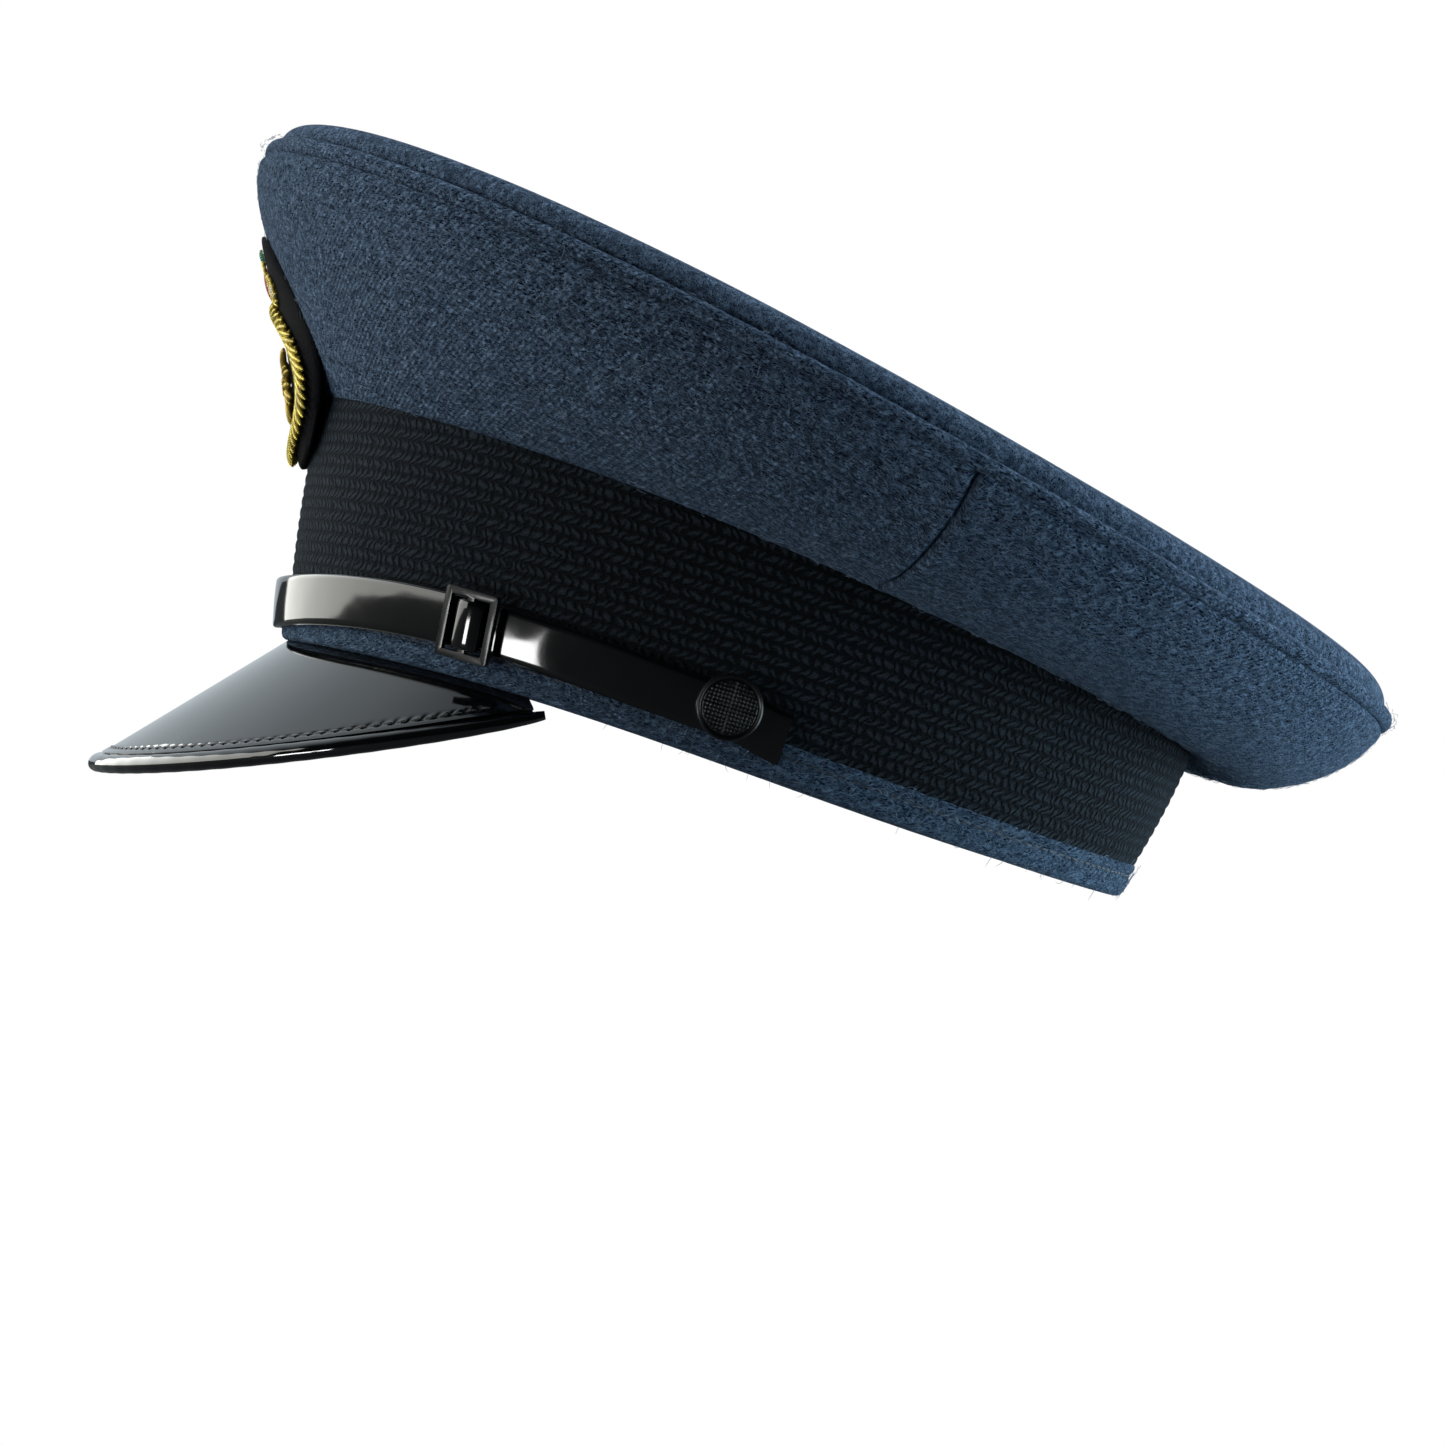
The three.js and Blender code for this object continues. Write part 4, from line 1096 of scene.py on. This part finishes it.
def bullion_bar(centre_h, centre_x, angle, length, radius, lift, bow=0.5):
    """Centres and axes of one short coil bar that lies on the badge."""
    s = np.linspace(-1, 1, 9)
    h = centre_h + s * length / 2 * math.sin(angle) / BADGE_LENGTH
    x = centre_x + s * length / 2 * math.cos(angle)
    centres = badge_point(h, x, lift + bow * (1 - s * s))
    along = unit(np.gradient(centres, axis=0))
    out = unit(np.cross([1.0, centre_x / BADGE["curve"], 0], BADGE_UP))
    wide = unit(np.cross(along, out))
    taper = radius * np.maximum(1 - np.abs(s) ** 4, 0.12)[:, None] ** 0.5
    return centres, wide * taper, np.cross(wide, along) * taper


def joined(name, bars, sides=10):
    """Several short bars as one object, each a closed body with its own map."""
    pieces = [tube(f"{name}_{k}", *bar, sides) for k, bar in enumerate(bars)]
    bpy.ops.object.select_all(action="DESELECT")
    for piece in pieces:
        piece.select_set(True)
    bpy.context.view_layer.objects.active = pieces[0]
    bpy.ops.object.join()
    pieces[0].name = name
    return pieces[0]


def ring_place(q, wide, high, h=RING["h"], x=0):
    """The place at angle q on an oval round (h, x)."""
    return h + high * math.sin(q) / BADGE_LENGTH, x + wide * math.cos(q)


def make_bullion_ring():
    rng = np.random.default_rng(7)
    bars = []
    for layer, slant in ((-1, 0.9), (0, 0.75), (1, -0.75)):
        wide, high = RING["wide"] + 1.6 * layer, RING["high"] + 0.6 * layer
        for k in range(RING["bars"]):
            q = FULL_TURN * (k + 0.5 * layer) / RING["bars"]
            outward = math.atan2(high * math.sin(q), wide * math.cos(q))
            bars.append(bullion_bar(*ring_place(q, wide, high),
                                    outward + slant * (0.9 + 0.2 * rng.random()),
                                    6.2 + 0.8 * rng.random(), 0.72, 2.2 + 0.4 * layer, 0.55))
    wear(joined("badge_ring_bullion", bars), GOLD, "cap", "gold_wire", "badge_ring")


def make_rosette():
    rays, heart = 18, 8
    bars = []
    for k in range(rays):
        q = FULL_TURN * k / rays
        reach, length = (6.0, 6.4) if k % 2 else (4.8, 4.4)
        bars.append(bullion_bar(*ring_place(q, reach, reach), q, length, 0.8, 2.4))
    for k in range(heart):
        q = FULL_TURN * (k + 0.5) / heart
        bars.append(bullion_bar(*ring_place(q, 1.6, 1.6), q + 1.4, 2.4, 0.6, 3.0, 0.4))
    wear(joined("badge_rosette_bullion", bars), GOLD_DARK, "cap", "gold_wire", "badge_rosette")


def thread_dome(name, h, x, radius, rise, strands, paint, slot):
    """A raised dot of satin stitch: threads side by side over a small dome."""
    bars = []
    for k in range(strands):
        offset = (k + 0.5) / strands * 2 - 1
        half = math.sqrt(max(1 - offset * offset, 0.05))
        bars.append(bullion_bar(h + offset * radius * 0.95 / BADGE_LENGTH, x, 0.12,
                                2 * radius * half, radius / strands * 1.15, 1.6, rise * half))
    wear(joined(name + "_silk", bars, 8), paint, "cap", slot, name)


def make_badge_top():
    """Four silk dots, three of them in rings of wire."""
    stone_h, bead_h, bead_x = 0.8, 0.77, 9
    thread_dome("badge_stone", stone_h, 0, 3.9, 1.3, 14, RED, "red_thread")
    thread_dome("badge_bead_left", bead_h, bead_x, 2.1, 1.0, 8, WHITE, "white_thread")
    thread_dome("badge_bead_right", bead_h, -bead_x, 2.1, 1.0, 8, WHITE, "white_thread")
    thread_dome("badge_bead_top", 0.92, 0, 1.7, 0.8, 7, GREEN, "green_thread")
    bars = []
    for h, x, radius, count in ((stone_h, 0, 4.9, 20), (bead_h, bead_x, 2.9, 12),
                                (bead_h, -bead_x, 2.9, 12)):
        for k in range(count):
            q = FULL_TURN * k / count
            bars.append(bullion_bar(*ring_place(q, radius, radius, h, x), q + 1.1, 2.4, 0.45, 2.0,
                                    0.35))
    wear(joined("badge_halo_bullion", bars), GOLD, "cap", "gold_wire")


# ---- Stray fibres of the wool ----

def lifted_welt(z, t):
    return off_band(z, t, 0.9)


def rim_tube(k, t):
    """Outside of the piping: k from below it, 0, over it to the crown's edge, 1."""
    swing = (mix(-50, 100, k) * DEG + 0 * t)[..., None]
    rim = between(CROWN_RIM, CROWN_RIM, 0, 0, t) + UP * PIPING["rise"]
    return rim + PIPING["radius"] * (rim_out(CROWN_RIM, t) * np.cos(swing) + UP * np.sin(swing))


def make_fibres():
    """Thin curled tubes on the crown, the rim and the rear of the welt, clear of the strap."""
    rng = np.random.default_rng(11)
    steps, sides = 7, 3
    places = []
    for face, low, high, count, clear in (
            (crown_face, 0.04, 0.99, FIBRES["crown"], 0),
            (lifted_welt, 1.6, 7.5, FIBRES["welt"], FIBRES["clear"]),
            (rim_tube, 0, 1, FIBRES["rim"], 0)):
        u = rng.uniform(low, high, count)
        places.append(frames_on(face, u, rng.uniform(clear, FULL_TURN - clear, count)))
    point, along, up, out = (np.concatenate(part)[:, None] for part in zip(*places))
    total = len(point)
    length = rng.uniform(1.2, 3.8, total)
    length[-FIBRES["rim"]:] *= 0.45
    heading = rng.uniform(0, FULL_TURN, total)
    bend = rng.uniform(-2.6, 2.6, total)
    lift = rng.uniform(0.02, 0.14, total)
    arch = 0.5 * rng.uniform(0.05, 1.0, total) ** 3
    s = np.linspace(0, 1, steps)
    angle = heading[:, None] + bend[:, None] * s
    stride = length[:, None] / (steps - 1)
    dx = np.cumsum(np.cos(angle) * stride, 1)[..., None]
    dy = np.cumsum(np.sin(angle) * stride, 1)[..., None]
    rise = (lift[:, None] + arch[:, None] * np.sin(math.pi * s))[..., None]
    spine = point + dx * along + dy * up + rise * out
    across = -np.sin(angle)[..., None] * along + np.cos(angle)[..., None] * up
    turn = (FULL_TURN * np.arange(sides) / sides)[:, None]
    radius = (FIBRES["radius"] * (1 - 0.7 * np.abs(2 * s - 1) ** 3))[:, None, None]
    rings = spine[:, :, None] + radius * (across[:, :, None] * np.cos(turn)
                                          + out[:, :, None] * np.sin(turn))
    block = steps * sides
    quads = repeated(sleeve(steps, sides), total, block).reshape(-1, 4)
    last = (steps - 1) * sides
    ends = np.concatenate([repeated([end], total, block).reshape(-1, 3)
                           for end in ([2, 1, 0], [last, last + 1, last + 2])])
    fibres = mesh_object("wool_fibres", rings.reshape(-1, 3), quads.tolist() + ends.tolist())
    wear(fibres, FIBRE_THREAD, "cap", "blue_wool")


# ---- The CAD nodes that show as they are ----

def paint_nodes():
    paints = {
        "crown_hoop": STEEL, "crown_wadding": WADDING, "front_stay": BUCKRAM,
        "band_stiffener": BUCKRAM, "peak_board": BOARD, "button_shank_left": LACQUER,
        "button_shank_right": LACQUER, "button_toggle_left": STEEL, "button_toggle_right": STEEL,
    }
    for node, paint in paints.items():
        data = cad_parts[node].data
        data.materials.clear()
        data.materials.append(paint)


add_camera()
add_world()
add_lights()
add_floor()
make_crown()
make_band()
make_welt()
make_sweatband()
make_linings()
make_peak()
make_strap()
make_buckles()
make_buttons()
make_badge()
make_fibres()
paint_nodes()

bpy.context.view_layer.update()
